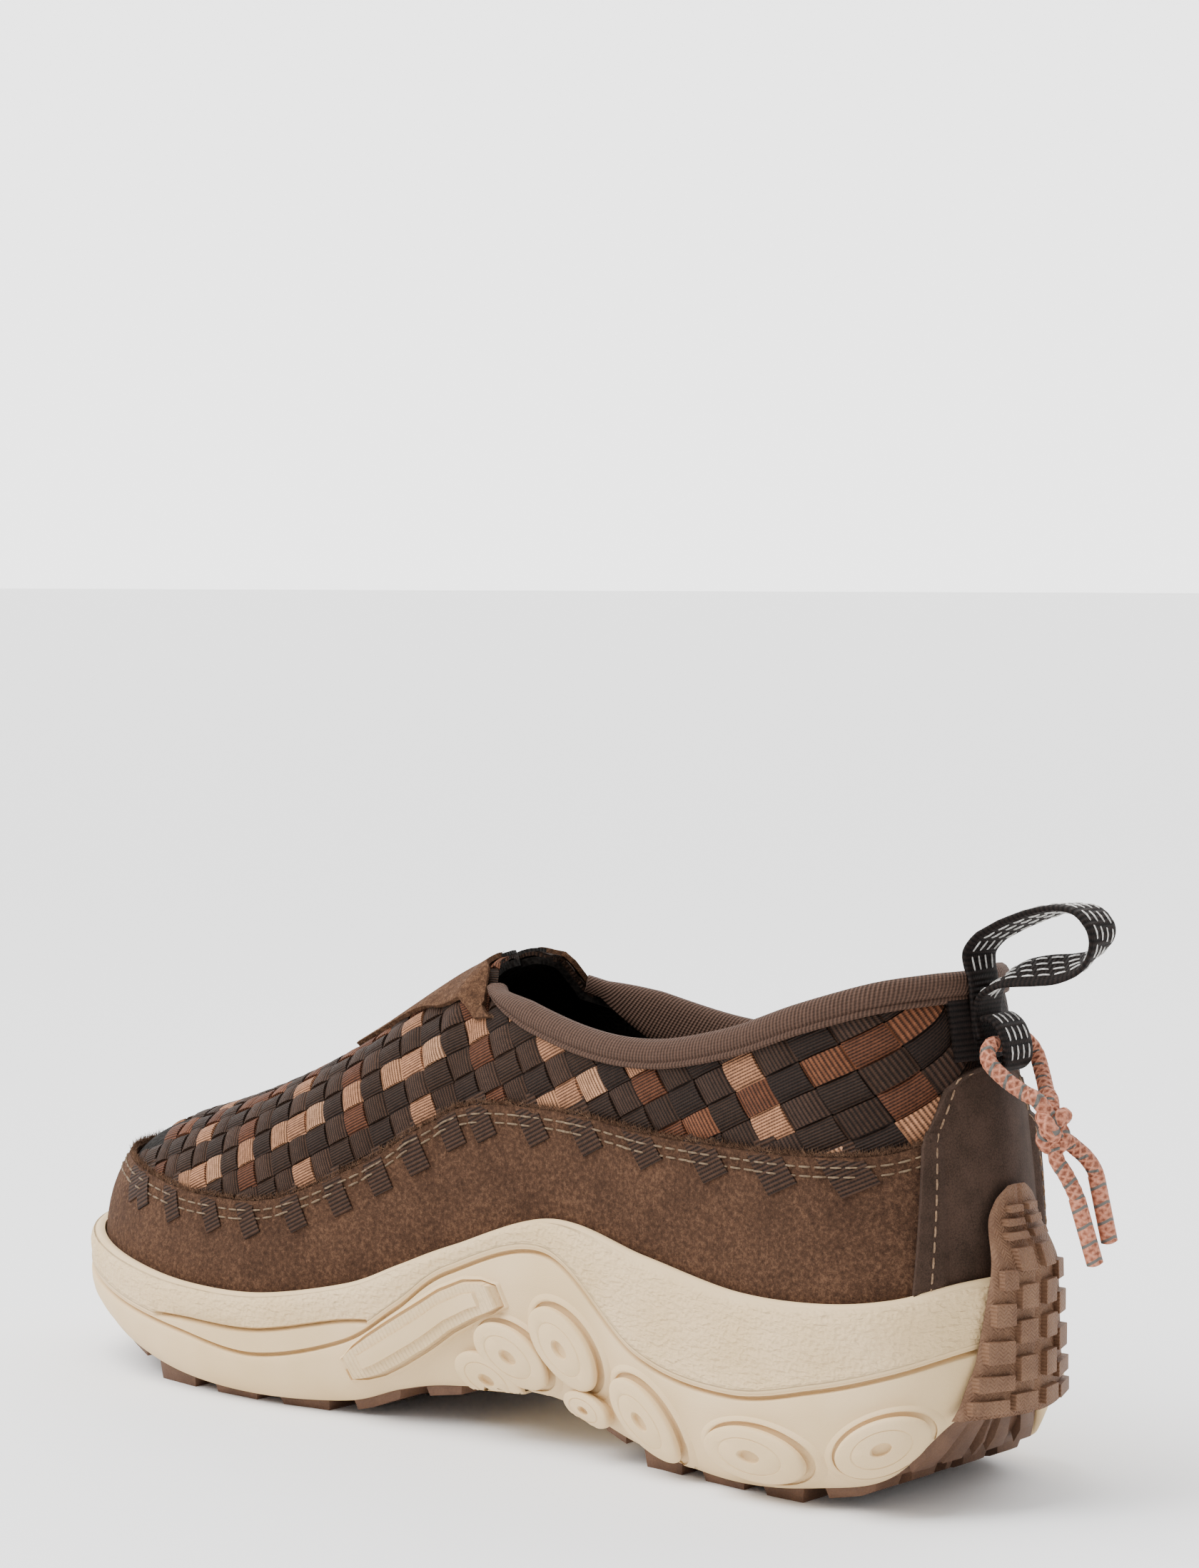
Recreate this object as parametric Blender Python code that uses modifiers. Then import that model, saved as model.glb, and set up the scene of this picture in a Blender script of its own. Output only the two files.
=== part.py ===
"""Slip-on walking shoe for the right foot, with a woven webbing upper.

Metres, +Z up. The toe points along -X, the inner (medial) side along -Y.
Inside this file a place on the shoe is given as forward from the heel back,
across towards the medial side, and up from the floor.
"""
import math

import bmesh
import bpy
import numpy as np
from mathutils import Vector
from mathutils.bvhtree import BVHTree

for old in list(bpy.data.objects):
    bpy.data.objects.remove(old, do_unlink=True)

# Overall sizes
SOLE_LENGTH = 0.298
SOLE_WIDTH = 0.103
RIM_HEIGHT = 0.057
COLLAR_HEIGHT = 0.124
OPENING_WIDTH = 0.062

# Upper
UPPER_WALL = 0.0020
WEAVE_RISE = 0.0005
WEAVE_MARGIN = 0.0009
RAND_WALL = 0.0012
COUNTER_WALL = 0.0015
STRIP_WALL = 0.0014
GORE_WALL = 0.0009
BINDING_HEIGHT = 0.0062
BINDING_THICKNESS = 0.0036

# Sole
LIP_WIDTH = 0.0021
RIM_INSET = 0.0015
TREAD_INSET = 0.0050
GROOVE_DEPTH = 0.0011
GROOVE_HALF = 0.0008
INSOLE_THICKNESS = 0.0040
TREAD_PLATE = 0.0013
LUG_HEIGHT = 0.0024
LUG_TAPER = 0.0009
WRAP_WALL = 0.0016
WRAP_BLOCK = 0.0020
POD_LENGTH = 0.0245
POD_HEIGHT = 0.0150
POD_RISE = 0.0026
PLATE_RISE = 0.0011

# Heel loops and cord
WEBBING_WIDTH = 0.0110
WEBBING_THICKNESS = 0.0017
PULL_REACH = 0.0360
CORD_DIAMETER = 0.0038
TIP_DIAMETER = 0.0040
TIP_LENGTH = 0.0160
KNOT_WIDTH = 0.0118

# Clearance between neighbours
CLEAR = 0.0003
ROLL_CLEAR = 0.0006
POD_CLEAR = 0.0008
STRIP_CLEAR = 0.0009
TREAD_CLEAR = 0.0006
FLAT_FROM = 0.0012

COLUMNS = 38
RAND_LEVELS = 3
WEAVE_LEVELS = 8
STATIONS = 15
CLOSED_FROM = 9
COUNTER_EDGE = 1.30
COUNTER_TAPER = 0.22
COUNTER_LEVEL = 7
ROLL_END = 7.6
ROLL_FADE = 0.5

HALF = SOLE_WIDTH / 2
UPPER_INSET = RIM_INSET + LIP_WIDTH + CLEAR + max(RAND_WALL, COUNTER_WALL) + CLEAR
ROLL_SPACE = BINDING_HEIGHT + ROLL_CLEAR

# Outline of the sole: along as a share of the length, medial and lateral
# half widths as shares of half the sole width
OUTLINE = (
    # along, medial, lateral
    (0.000, 0.000, 0.000),
    (0.018, 0.350, 0.350),
    (0.055, 0.600, 0.600),
    (0.115, 0.725, 0.735),
    (0.200, 0.735, 0.755),
    (0.300, 0.700, 0.770),
    (0.400, 0.680, 0.815),
    (0.500, 0.735, 0.895),
    (0.552, 0.790, 0.940),
    (0.605, 0.855, 0.980),
    (0.695, 0.950, 1.020),
    (0.785, 0.965, 0.980),
    (0.865, 0.900, 0.805),
    (0.935, 0.725, 0.530),
    (0.981, 0.480, 0.210),
    (1.000, 0.155, -0.155),
)

# Collar edge, then the ridge of the vamp: along as a share of the length,
# half widths as shares of half the opening, heights as shares of the collar's
TOPLINE = (
    # along, medial, lateral, medial height, lateral height
    (0.057, 0.000, 0.000, 1.000, 1.000),
    (0.066, 0.420, 0.420, 1.000, 1.000),
    (0.094, 0.770, 0.770, 0.986, 0.982),
    (0.148, 0.960, 0.960, 0.942, 0.925),
    (0.215, 1.000, 1.000, 0.882, 0.860),
    (0.296, 0.985, 0.985, 0.840, 0.812),
    (0.376, 0.920, 0.920, 0.845, 0.815),
    (0.480, 0.710, 0.710, 0.892, 0.872),
    (0.520, 0.400, 0.400, 0.915, 0.908),
    (0.537, 0.000, 0.000, 0.915, 0.915),
    (0.631, 0.000, 0.000, 0.774, 0.774),
    (0.725, 0.000, 0.000, 0.655, 0.655),
    (0.805, 0.016, -0.016, 0.577, 0.577),
    (0.859, 0.065, -0.065, 0.532, 0.532),
    (0.893, 0.113, -0.113, 0.504, 0.504),
    (0.909, 0.145, -0.145, 0.488, 0.488),
)

# Heights of the sole: shares of the rim height
SOLE_HEIGHTS = (
    # medial rim, lateral rim, medial groove, lateral groove, tread, footbed
    (0.965, 0.965, 0.700, 0.700, 0.490, 0.650),
    (0.947, 0.947, 0.660, 0.660, 0.410, 0.650),
    (0.886, 0.886, 0.580, 0.580, 0.184, 0.640),
    (0.847, 0.851, 0.490, 0.490, 0.112, 0.632),
    (0.842, 0.842, 0.407, 0.430, 0.068, 0.605),
    (0.916, 0.877, 0.486, 0.475, 0.123, 0.570),
    (1.000, 0.904, 0.846, 0.580, 0.250, 0.544),
    (0.825, 0.807, 0.710, 0.545, 0.228, 0.509),
    (0.710, 0.719, 0.518, 0.456, 0.180, 0.456),
    (0.596, 0.632, 0.342, 0.351, 0.096, 0.395),
    (0.504, 0.535, 0.230, 0.246, 0.066, 0.342),
    (0.496, 0.509, 0.277, 0.277, 0.091, 0.342),
    (0.532, 0.535, 0.333, 0.333, 0.170, 0.377),
    (0.570, 0.570, 0.395, 0.395, 0.260, 0.421),
    (0.605, 0.605, 0.440, 0.440, 0.325, 0.456),
    (0.623, 0.623, 0.456, 0.456, 0.345, 0.474),
)

# Top edge of the suede rand as shares of the collar height, and the fullness
# and shoulder of the upper's section at each station
UPPER_SHAPE = (
    # medial rand, lateral rand, fullness, shoulder
    (0.702, 0.702, 2.20, 1.00),
    (0.700, 0.700, 2.20, 1.00),
    (0.673, 0.673, 2.10, 1.00),
    (0.660, 0.661, 1.90, 1.00),
    (0.656, 0.653, 1.80, 1.00),
    (0.657, 0.637, 1.80, 1.00),
    (0.671, 0.621, 1.90, 0.95),
    (0.657, 0.589, 2.10, 0.80),
    (0.597, 0.548, 2.20, 0.66),
    (0.516, 0.500, 2.20, 0.58),
    (0.419, 0.452, 2.20, 0.53),
    (0.399, 0.444, 2.30, 0.50),
    (0.407, 0.456, 2.50, 0.50),
    (0.419, 0.452, 2.70, 0.50),
    (0.427, 0.444, 2.80, 0.50),
    (0.431, 0.431, 2.80, 0.50),
)


def ring(near, far, sign=1):
    """Station values once round the shoe: heel, medial side, toe, lateral side."""
    return np.array(list(near) + [sign * value for value in list(far)[-2:0:-1]])


def column(table, index, scale):
    return [row[index] * scale for row in table]


def pair(table, near, far, scale, sign=1):
    return ring(column(table, near, scale), column(table, far, scale), sign)


RUN = {
    "along": pair(OUTLINE, 0, 0, SOLE_LENGTH),
    "across": pair(OUTLINE, 1, 2, HALF, -1),
    "top along": pair(TOPLINE, 0, 0, SOLE_LENGTH),
    "top across": pair(TOPLINE, 1, 2, OPENING_WIDTH / 2, -1),
    "top": pair(TOPLINE, 3, 4, COLLAR_HEIGHT),
    "rim": pair(SOLE_HEIGHTS, 0, 1, RIM_HEIGHT),
    "groove": pair(SOLE_HEIGHTS, 2, 3, RIM_HEIGHT),
    "tread": pair(SOLE_HEIGHTS, 4, 4, RIM_HEIGHT),
    "footbed": pair(SOLE_HEIGHTS, 5, 5, RIM_HEIGHT),
    "rand": pair(UPPER_SHAPE, 0, 1, COLLAR_HEIGHT),
    "fullness": pair(UPPER_SHAPE, 2, 2, 1.0),
    "shoulder": pair(UPPER_SHAPE, 3, 3, 1.0),
}


def at(name, u):
    """Smooth value of a run at the fractional station u."""
    run = RUN[name]
    i = math.floor(u)
    f = u - i
    a, b, c, d = (run[(i + k) % len(run)] for k in (-1, 0, 1, 2))
    bend = (2 * a - 5 * b + 4 * c - d) * f * f + (3 * b - a - 3 * c + d) * f ** 3
    return 0.5 * (2 * b + (c - a) * f + bend)


def place(along, across, up):
    return Vector((-along, -across, up))


def outline(u, inset=0.0):
    """Plan point of the sole's outline, moved inwards by the inset."""
    step = 0.02
    du = at("along", u + step) - at("along", u - step)
    dv = at("across", u + step) - at("across", u - step)
    size = math.hypot(du, dv)
    return at("along", u) + inset * dv / size, at("across", u) - inset * du / size


def topline(u):
    """Upper's top edge: under the collar roll, then the ridge of the vamp."""
    u = u % (2 * STATIONS)
    side = min(u, 2 * STATIONS - u)
    along = at("top along", u)
    across = at("top across", u)
    up = at("top", u)
    if side >= CLOSED_FROM:
        across = 0.5 * (across + at("top across", 2 * STATIONS - u))
        up = 0.5 * (up + at("top", 2 * STATIONS - u))
    open_share = min(1.0, max(0.0, ROLL_END + ROLL_FADE - side) / ROLL_FADE)
    return along, across, up - ROLL_SPACE * open_share


def section(u, count=48):
    """Points of the upper's outer face in one upright section, bottom to top."""
    base_along, base_across = outline(u, UPPER_INSET)
    top_along, top_across, top = topline(u)
    foot = at("footbed", u)
    points = []
    for i in range(count + 1):
        share = 1 - (1 - i / count) ** 2
        reach = max(0.0, 1 - share ** at("fullness", u)) ** at("shoulder", u)
        along = top_along + (base_along - top_along) * reach
        across = top_across + (base_across - top_across) * reach
        points.append((along, across, foot + (top - foot) * share))
    return np.array(points)


def spread(points, count):
    """The same run of points, evenly spaced along its length."""
    steps = np.linalg.norm(np.diff(points, axis=0), axis=1)
    walked = np.concatenate([[0.0], np.cumsum(steps)])
    wanted = np.linspace(0.0, walked[-1], count + 1)
    return np.stack([np.interp(wanted, walked, points[:, k]) for k in range(3)], axis=1)


def cut_at(points, height):
    """Split a rising section at a height, with the cut point in both parts."""
    i = int(np.searchsorted(points[:, 2], height))
    i = min(max(i, 1), len(points) - 1)
    f = (height - points[i - 1, 2]) / (points[i, 2] - points[i - 1, 2])
    mid = points[i - 1] + (points[i] - points[i - 1]) * f
    return np.vstack([points[:i], mid]), np.vstack([mid, points[i:]])


def levels(u):
    low, high = cut_at(section(u), at("rand", u))
    return np.vstack([spread(low, RAND_LEVELS), spread(high, WEAVE_LEVELS)[1:]])


def skin(u, level, lift):
    """Point of the upper's face at a column and level, lifted along its normal."""
    here = levels(u)
    ahead, behind = levels(u + 0.05), levels(u - 0.05)
    up = min(level + 1, len(here) - 1)
    rise = here[up] - here[max(level - 1, 0)]
    run = ahead[level] - behind[level]
    normal = np.cross(rise, run)
    normal = normal / np.linalg.norm(normal)
    return place(*(here[level] + lift * normal))


def even_columns():
    """Stations from heel to toe that divide the outline into equal lengths."""
    fine = np.linspace(0, STATIONS, 1501)
    plan = np.array([outline(u) for u in fine])
    walked = np.concatenate([[0], np.cumsum(np.linalg.norm(np.diff(plan, axis=0), axis=1))])
    found = [float(np.interp(walked[-1] * k / COLUMNS, walked, fine)) for k in range(COLUMNS + 1)]
    for fixed in (ROLL_END, CLOSED_FROM):
        nearest = min(range(len(found)), key=lambda k: abs(found[k] - fixed))
        found[nearest] = fixed
    return found


MEDIAL = even_columns()
ROUND = MEDIAL + [2 * STATIONS - u for u in MEDIAL[-2:0:-1]]


def station_at(along, side=1):
    """Station whose outline point lies at this distance from the heel."""
    fine = np.linspace(0, STATIONS, 1501)
    values = [at("along", u) for u in fine]
    u = float(np.interp(along, values, fine))
    return u if side > 0 else 2 * STATIONS - u


# Scene helpers
SHOE = bpy.data.collections.new("slip_on_walking_shoe")
bpy.context.scene.collection.children.link(SHOE)


def material(name, colour, roughness):
    made = bpy.data.materials.new(name)
    made.use_nodes = True
    shader = made.node_tree.nodes["Principled BSDF"]
    linear = [pow(int(colour[i:i + 2], 16) / 255, 2.2) for i in (1, 3, 5)]
    shader.inputs["Base Color"].default_value = (*linear, 1.0)
    shader.inputs["Roughness"].default_value = roughness
    shader.inputs["Metallic"].default_value = 0.0
    return made


EVA = material("cream_foam", "#CDBFA5", 0.75)
RUBBER = material("brown_rubber", "#7B5C46", 0.70)
WEBBING = material("woven_webbing", "#3D322B", 0.80)
SUEDE = material("brown_suede", "#7A5238", 0.95)
NUBUCK = material("dark_nubuck", "#4A3524", 0.90)
ELASTIC = material("black_elastic", "#1A1614", 0.85)
BINDING = material("brown_binding", "#5C4535", 0.85)
FOOTBED = material("black_insole", "#15110F", 0.90)
PULL = material("black_webbing", "#2A211D", 0.80)
CORD = material("braided_cord", "#C08A72", 0.75)


def add_object(name, data, look):
    made = bpy.data.objects.new(name, data)
    made.data.materials.append(look)
    SHOE.objects.link(made)
    return made


def mesh_object(name, bm, look, smooth=True):
    bmesh.ops.recalc_face_normals(bm, faces=bm.faces)
    mesh = bpy.data.meshes.new(name)
    bm.to_mesh(mesh)
    bm.free()
    made = add_object(name, mesh, look)
    if smooth:
        mesh.shade_smooth()
        mesh.set_sharp_from_angle(angle=math.radians(40))
    return made


def grid_faces(bm, rows, closed=False):
    """Quads between neighbouring rows of vertices."""
    faces = []
    count = len(rows)
    for i in range(count if closed else count - 1):
        a, b = rows[i], rows[(i + 1) % count]
        for j in range(len(a) - 1):
            corners = []
            for vert in (a[j], b[j], b[j + 1], a[j + 1]):
                if vert not in corners:
                    corners.append(vert)
            if len(corners) > 2:
                faces.append(bm.faces.new(corners))
    return faces


def solidify(made, thickness, offset):
    shell = made.modifiers.new("wall", "SOLIDIFY")
    shell.thickness = thickness
    shell.offset = offset
    shell.use_even_offset = True
    shell.material_offset = 0
    return shell


def outward(bm, faces):
    """Turn an open sheet so that its faces point away from the shoe's middle."""
    bmesh.ops.recalc_face_normals(bm, faces=bm.faces)
    middle = place(SOLE_LENGTH * 0.45, 0.0, RIM_HEIGHT * 0.8)
    lean = sum((f.calc_center_median() - middle).dot(f.normal) * f.calc_area() for f in faces)
    if lean < 0:
        bmesh.ops.reverse_faces(bm, faces=list(bm.faces))


# Woven upper: one wall, open at the collar and underneath
def build_upper():
    bm = bmesh.new()
    rows = []
    for i, u in enumerate(ROUND):
        points = levels(u)
        shared = i > COLUMNS and min(u, 2 * STATIONS - u) >= CLOSED_FROM
        row = [bm.verts.new(place(*p)) for p in points[:-1]]
        row.append(rows[2 * COLUMNS - i][-1] if shared else bm.verts.new(place(*points[-1])))
        rows.append(row)
    faces = grid_faces(bm, rows, closed=True)
    outward(bm, faces)
    mesh = bpy.data.meshes.new("upper")
    bm.to_mesh(mesh)
    bm.free()
    sheet = add_object("upper", mesh, WEBBING)
    solidify(sheet, UPPER_WALL, -1)
    mesh = bpy.data.meshes.new_from_object(
        sheet.evaluated_get(bpy.context.evaluated_depsgraph_get()))
    sheet.modifiers.clear()
    sheet.data = mesh
    raise_weave(mesh)
    mesh.shade_smooth()
    mesh.set_sharp_from_angle(angle=math.radians(35))
    return sheet


def raise_weave(mesh):
    """Lift every other cell above the rand, where a strip passes over another."""
    bm = bmesh.new()
    bm.from_mesh(mesh)
    bm.faces.ensure_lookup_table()
    per_column = RAND_LEVELS + WEAVE_LEVELS
    first = [f for f in bm.faces if f.index < len(ROUND) * per_column]
    lifted = []
    for face in first:
        i, j = divmod(face.index, per_column)
        side = min(i, len(ROUND) - 1 - i)
        if MEDIAL[side] < COUNTER_EDGE:
            continue
        if j >= RAND_LEVELS and (i + j) % 2 == 0 and len(face.verts) == 4:
            lifted.append(face)
    bmesh.ops.inset_individual(bm, faces=lifted, thickness=WEAVE_MARGIN, depth=WEAVE_RISE)
    bm.to_mesh(mesh)
    bm.free()


# Overlays on the lower upper: suede rand, and the counter round the heel
COUNTER_GAP = 0.03


def band(name, stations, top_level, wall, look):
    bm = bmesh.new()
    rows = [[bm.verts.new(skin(u, j, CLEAR)) for j in range(top_level + 1)] for u in stations]
    faces = grid_faces(bm, rows)
    outward(bm, faces)
    mesh = bpy.data.meshes.new(name)
    bm.to_mesh(mesh)
    bm.free()
    made = add_object(name, mesh, look)
    solidify(made, wall, 1)
    return made


def build_rand():
    edge = COUNTER_EDGE + COUNTER_GAP
    inner = [u for u in ROUND if edge + 0.2 < u < 2 * STATIONS - edge - 0.2]
    return band("rand", [edge] + inner + [2 * STATIONS - edge], RAND_LEVELS, RAND_WALL, SUEDE)


def build_counter():
    """Nubuck panel round the heel; it narrows a little towards its top."""
    bm = bmesh.new()
    inner = [u for u in MEDIAL if u < COUNTER_EDGE - COUNTER_TAPER - 0.1]
    stations = [-COUNTER_EDGE] + [-u for u in inner[:0:-1]] + inner + [COUNTER_EDGE]
    rows = []
    for u in stations:
        row = []
        for j in range(COUNTER_LEVEL + 1):
            edge = COUNTER_EDGE - COUNTER_TAPER * j / COUNTER_LEVEL
            place_u = max(-edge, min(edge, u))
            row.append(bm.verts.new(skin(place_u, j, CLEAR)))
        rows.append(row)
    faces = grid_faces(bm, rows)
    outward(bm, faces)
    mesh = bpy.data.meshes.new("heel_counter")
    bm.to_mesh(mesh)
    bm.free()
    made = add_object("heel_counter", mesh, NUBUCK)
    solidify(made, COUNTER_WALL, 1)
    return made


def surface_tree(made):
    """The evaluated outer surface of an object, for laying pieces on it."""
    mesh = made.evaluated_get(bpy.context.evaluated_depsgraph_get()).to_mesh()
    points = [made.matrix_world @ v.co for v in mesh.vertices]
    return BVHTree.FromPolygons(points, [tuple(p.vertices) for p in mesh.polygons])


def laid(tree, along, across, lift):
    """Point above the vamp, lowered onto it and lifted along its normal."""
    hit, normal, _, _ = tree.ray_cast(place(along, across, 2 * COLLAR_HEIGHT), Vector((0, 0, -1)))
    return hit + normal * lift


# Instep pieces: two suede strips and the elastic gore between them
INSTEP_FRONT = 0.648
INSTEP_MARGIN = 0.0030
STRIP_INNER = (0.130, 0.100)
STRIP_OUTER = (0.430, 0.215)


def throat_along(across):
    """How far forward the upper's front opening edge lies at this width."""
    run = [topline(u) for u in np.linspace(CLOSED_FROM - 2.2, CLOSED_FROM - 0.001, 60)]
    return float(np.interp(abs(across), [p[1] for p in run[::-1]], [p[0] for p in run[::-1]]))


def instep_piece(name, tree, edges, wall, look):
    """A thin piece on the instep between two edges that taper to the front."""
    bm = bmesh.new()
    rows = []
    front = SOLE_LENGTH * INSTEP_FRONT
    for i in range(12):
        share = i / 11
        sides = [HALF * (edge[0] + (edge[1] - edge[0]) * share) for edge in edges]
        row = []
        for j in range(6):
            across = sides[0] + (sides[1] - sides[0]) * j / 5
            back_across = HALF * (edges[0][0] + (edges[1][0] - edges[0][0]) * j / 5)
            aside = abs(back_across) / (HALF * STRIP_OUTER[0])
            back = throat_along(back_across) + INSTEP_MARGIN * (1 + 4 * aside ** 2)
            along = back + (front - back) * share
            row.append(bm.verts.new(laid(tree, along, across, STRIP_CLEAR)))
        rows.append(row)
    faces = grid_faces(bm, rows)
    outward(bm, faces)
    mesh = bpy.data.meshes.new(name)
    bm.to_mesh(mesh)
    bm.free()
    made = add_object(name, mesh, look)
    solidify(made, wall, 1)
    return made


def build_instep(upper):
    tree = surface_tree(upper)
    gap = CLEAR / HALF
    gore = [STRIP_INNER[0] - gap, STRIP_INNER[1] - gap]
    far_inner = [-v for v in STRIP_INNER]
    far_outer = [-v for v in STRIP_OUTER]
    instep_piece("strip_medial", tree, (STRIP_INNER, STRIP_OUTER), STRIP_WALL, SUEDE)
    instep_piece("strip_lateral", tree, (far_inner, far_outer), STRIP_WALL, SUEDE)
    instep_piece("gore", tree, ([-v for v in gore], gore), GORE_WALL, ELASTIC)


# Padded collar binding, a flattened roll on the upper's top edge
def build_binding():
    stations = [u for u in MEDIAL if u < ROLL_END - 0.15] + [ROLL_END - 0.08]
    run = [2 * STATIONS - u for u in stations[:0:-1]] + stations
    bm = bmesh.new()
    rows = []
    for u in run:
        here = topline(u)
        ahead, behind = topline(u + 0.03), topline(u - 0.03)
        middle = place(here[0], here[1], here[2] + ROLL_CLEAR + BINDING_HEIGHT / 2)
        run_way = (place(*ahead) - place(*behind)).normalized()
        out = run_way.cross(Vector((0, 0, 1))).normalized()
        up = out.cross(run_way).normalized()
        row = []
        for k in range(10):
            angle = 2 * math.pi * k / 10
            row.append(bm.verts.new(middle + out * math.cos(angle) * BINDING_THICKNESS / 2
                                    + up * math.sin(angle) * BINDING_HEIGHT / 2))
        rows.append(row + row[:1])
    grid_faces(bm, rows)
    bm.faces.new(rows[0][:-1])
    bm.faces.new(rows[-1][:-1])
    return mesh_object("collar_binding", bm, BINDING)


def tube(name, points, radius, look, resolution=2):
    """A round tube through the points, with filled ends."""
    data = bpy.data.curves.new(name, "CURVE")
    data.dimensions = "3D"
    data.bevel_depth = radius
    data.bevel_resolution = resolution
    data.use_fill_caps = True
    spline = data.splines.new("POLY")
    spline.points.add(len(points) - 1)
    for slot, point in zip(spline.points, points):
        slot.co = (*point, 1.0)
    return add_object(name, data, look)


# Midsole: a foam cup with a lip round the upper
def sole_ring(bm, inset, height):
    row = []
    for u in ROUND:
        along, across = outline(u, inset if not callable(inset) else inset(u))
        row.append(bm.verts.new(place(along, across, height(u))))
    return row


def ladder(bm, row):
    """Fill a ring across the sole, one strip per pair of columns."""
    total = len(row)
    for k in range(COLUMNS):
        corners = [row[k], row[k + 1], row[(total - k - 1) % total], row[(total - k) % total]]
        kept = []
        for vert in corners:
            if vert not in kept:
                kept.append(vert)
        bm.faces.new(kept)


def build_midsole():
    def tread(u):
        return at("tread", u)

    def groove(u):
        return at("groove", u)

    def rim(u):
        return at("rim", u)

    def wall(share):
        return lambda u: tread(u) + (groove(u) - tread(u)) * share

    inner = RIM_INSET + LIP_WIDTH
    bm = bmesh.new()
    rows = [
        sole_ring(bm, TREAD_INSET, tread),
        sole_ring(bm, TREAD_INSET * 0.28, wall(0.13)),
        sole_ring(bm, 0.0, wall(0.55)),
        sole_ring(bm, 0.0003, lambda u: groove(u) - GROOVE_HALF),
        sole_ring(bm, GROOVE_DEPTH, groove),
        sole_ring(bm, 0.0003, lambda u: groove(u) + GROOVE_HALF),
        sole_ring(bm, RIM_INSET * 0.3, lambda u: 0.45 * groove(u) + 0.55 * rim(u)),
        sole_ring(bm, RIM_INSET, lambda u: rim(u) - 0.0006),
        sole_ring(bm, inner, rim),
        sole_ring(bm, inner, lambda u: at("footbed", u) - CLEAR),
    ]
    columns = list(zip(*rows))
    grid_faces(bm, columns, closed=True)
    ladder(bm, rows[0])
    ladder(bm, rows[-1])
    return mesh_object("midsole", bm, EVA)


def build_insole():
    inset = UPPER_INSET + UPPER_WALL + 2 * CLEAR
    bm = bmesh.new()
    rows = [
        sole_ring(bm, inset, lambda u: at("footbed", u)),
        sole_ring(bm, inset, lambda u: at("footbed", u) + INSOLE_THICKNESS),
    ]
    grid_faces(bm, list(zip(*rows)), closed=True)
    ladder(bm, rows[0])
    ladder(bm, rows[1])
    return mesh_object("insole", bm, FOOTBED)


# Treads: rubber plates under the forefoot and heel, with lugs
LUG_ACROSS = (-1.0, -0.66, -0.52, -0.18, -0.04, 0.04, 0.18, 0.52, 0.66, 1.0)


def tread_edges():
    """The midsole's lower edge by column: medial and lateral plan points, heights."""
    near = np.array([outline(u, TREAD_INSET) for u in MEDIAL])
    far = np.array([outline(2 * STATIONS - u, TREAD_INSET) for u in MEDIAL])
    return near, far, np.array([at("tread", u) for u in MEDIAL])


def build_tread(name, cells):
    """A plate that follows the midsole, lugs on every other cell of its grid."""
    near, far, heights = tread_edges()
    edges = [SOLE_LENGTH * share for share in cells]
    between = [a for a in near[:, 0] if edges[0] < a < edges[-1]
               and min(abs(a - e) for e in edges) > 0.0012]
    stops = sorted(edges + between)
    rows_top, rows_low = [], []
    bm = bmesh.new()
    for along in stops:
        across_near = np.interp(along, near[:, 0], near[:, 1])
        across_far = np.interp(along, far[:, 0], far[:, 1])
        up = min(np.interp(along, near[:, 0], heights), np.interp(along, far[:, 0], heights))
        up -= TREAD_CLEAR
        top, low = [], []
        for share in LUG_ACROSS:
            across = across_far + (across_near - across_far) * (share + 1) / 2
            top.append(bm.verts.new(place(along, across, up)))
            low.append(bm.verts.new(place(along, across, up - TREAD_PLATE)))
        rows_top.append(top)
        rows_low.append(low)
    grid_faces(bm, rows_top)
    bottom = grid_faces(bm, rows_low)
    last = len(LUG_ACROSS) - 1
    for i in range(len(stops) - 1):
        for j in (0, last):
            bm.faces.new((rows_top[i][j], rows_top[i + 1][j], rows_low[i + 1][j], rows_low[i][j]))
    for i in (0, len(stops) - 1):
        for j in range(last):
            bm.faces.new((rows_top[i][j], rows_top[i][j + 1], rows_low[i][j + 1], rows_low[i][j]))
    bmesh.ops.recalc_face_normals(bm, faces=bm.faces)
    patches = {}
    for n, face in enumerate(bottom):
        row, cell = divmod(n, last)
        middle = 0.5 * (stops[row] + stops[row + 1])
        block = int(np.searchsorted(edges, middle)) - 1
        if block % 2 == 0 and cell % 2 == 0:
            patches.setdefault((block, cell), []).append(face)
    for patch in patches.values():
        lower_lug(bm, patch)
    return mesh_object(name, bm, RUBBER, smooth=False)


def lower_lug(bm, patch):
    """Draw one lug's face down; a lug near the floor gets a flat foot on it."""
    result = bmesh.ops.extrude_face_region(bm, geom=patch)
    verts = [g for g in result["geom"] if isinstance(g, bmesh.types.BMVert)]
    bmesh.ops.delete(bm, geom=patch, context="FACES_ONLY")
    middle = sum((v.co for v in verts), Vector()) / len(verts)
    lowest = min(v.co.z for v in verts)
    touching = lowest - LUG_HEIGHT < FLAT_FROM
    for vert in verts:
        slide = middle - vert.co
        slide.z = 0.0
        vert.co += slide.normalized() * LUG_TAPER
        vert.co.z = 0.0 if touching else vert.co.z - LUG_HEIGHT


FOREFOOT_ROWS = (0.500, 0.535, 0.560, 0.605, 0.630, 0.680, 0.705, 0.755, 0.780, 0.830,
                 0.850, 0.895, 0.915, 0.955)
HEEL_ROWS = (0.026, 0.055, 0.075, 0.115, 0.135, 0.175, 0.195, 0.240, 0.262, 0.305,
             0.325, 0.350)

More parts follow.
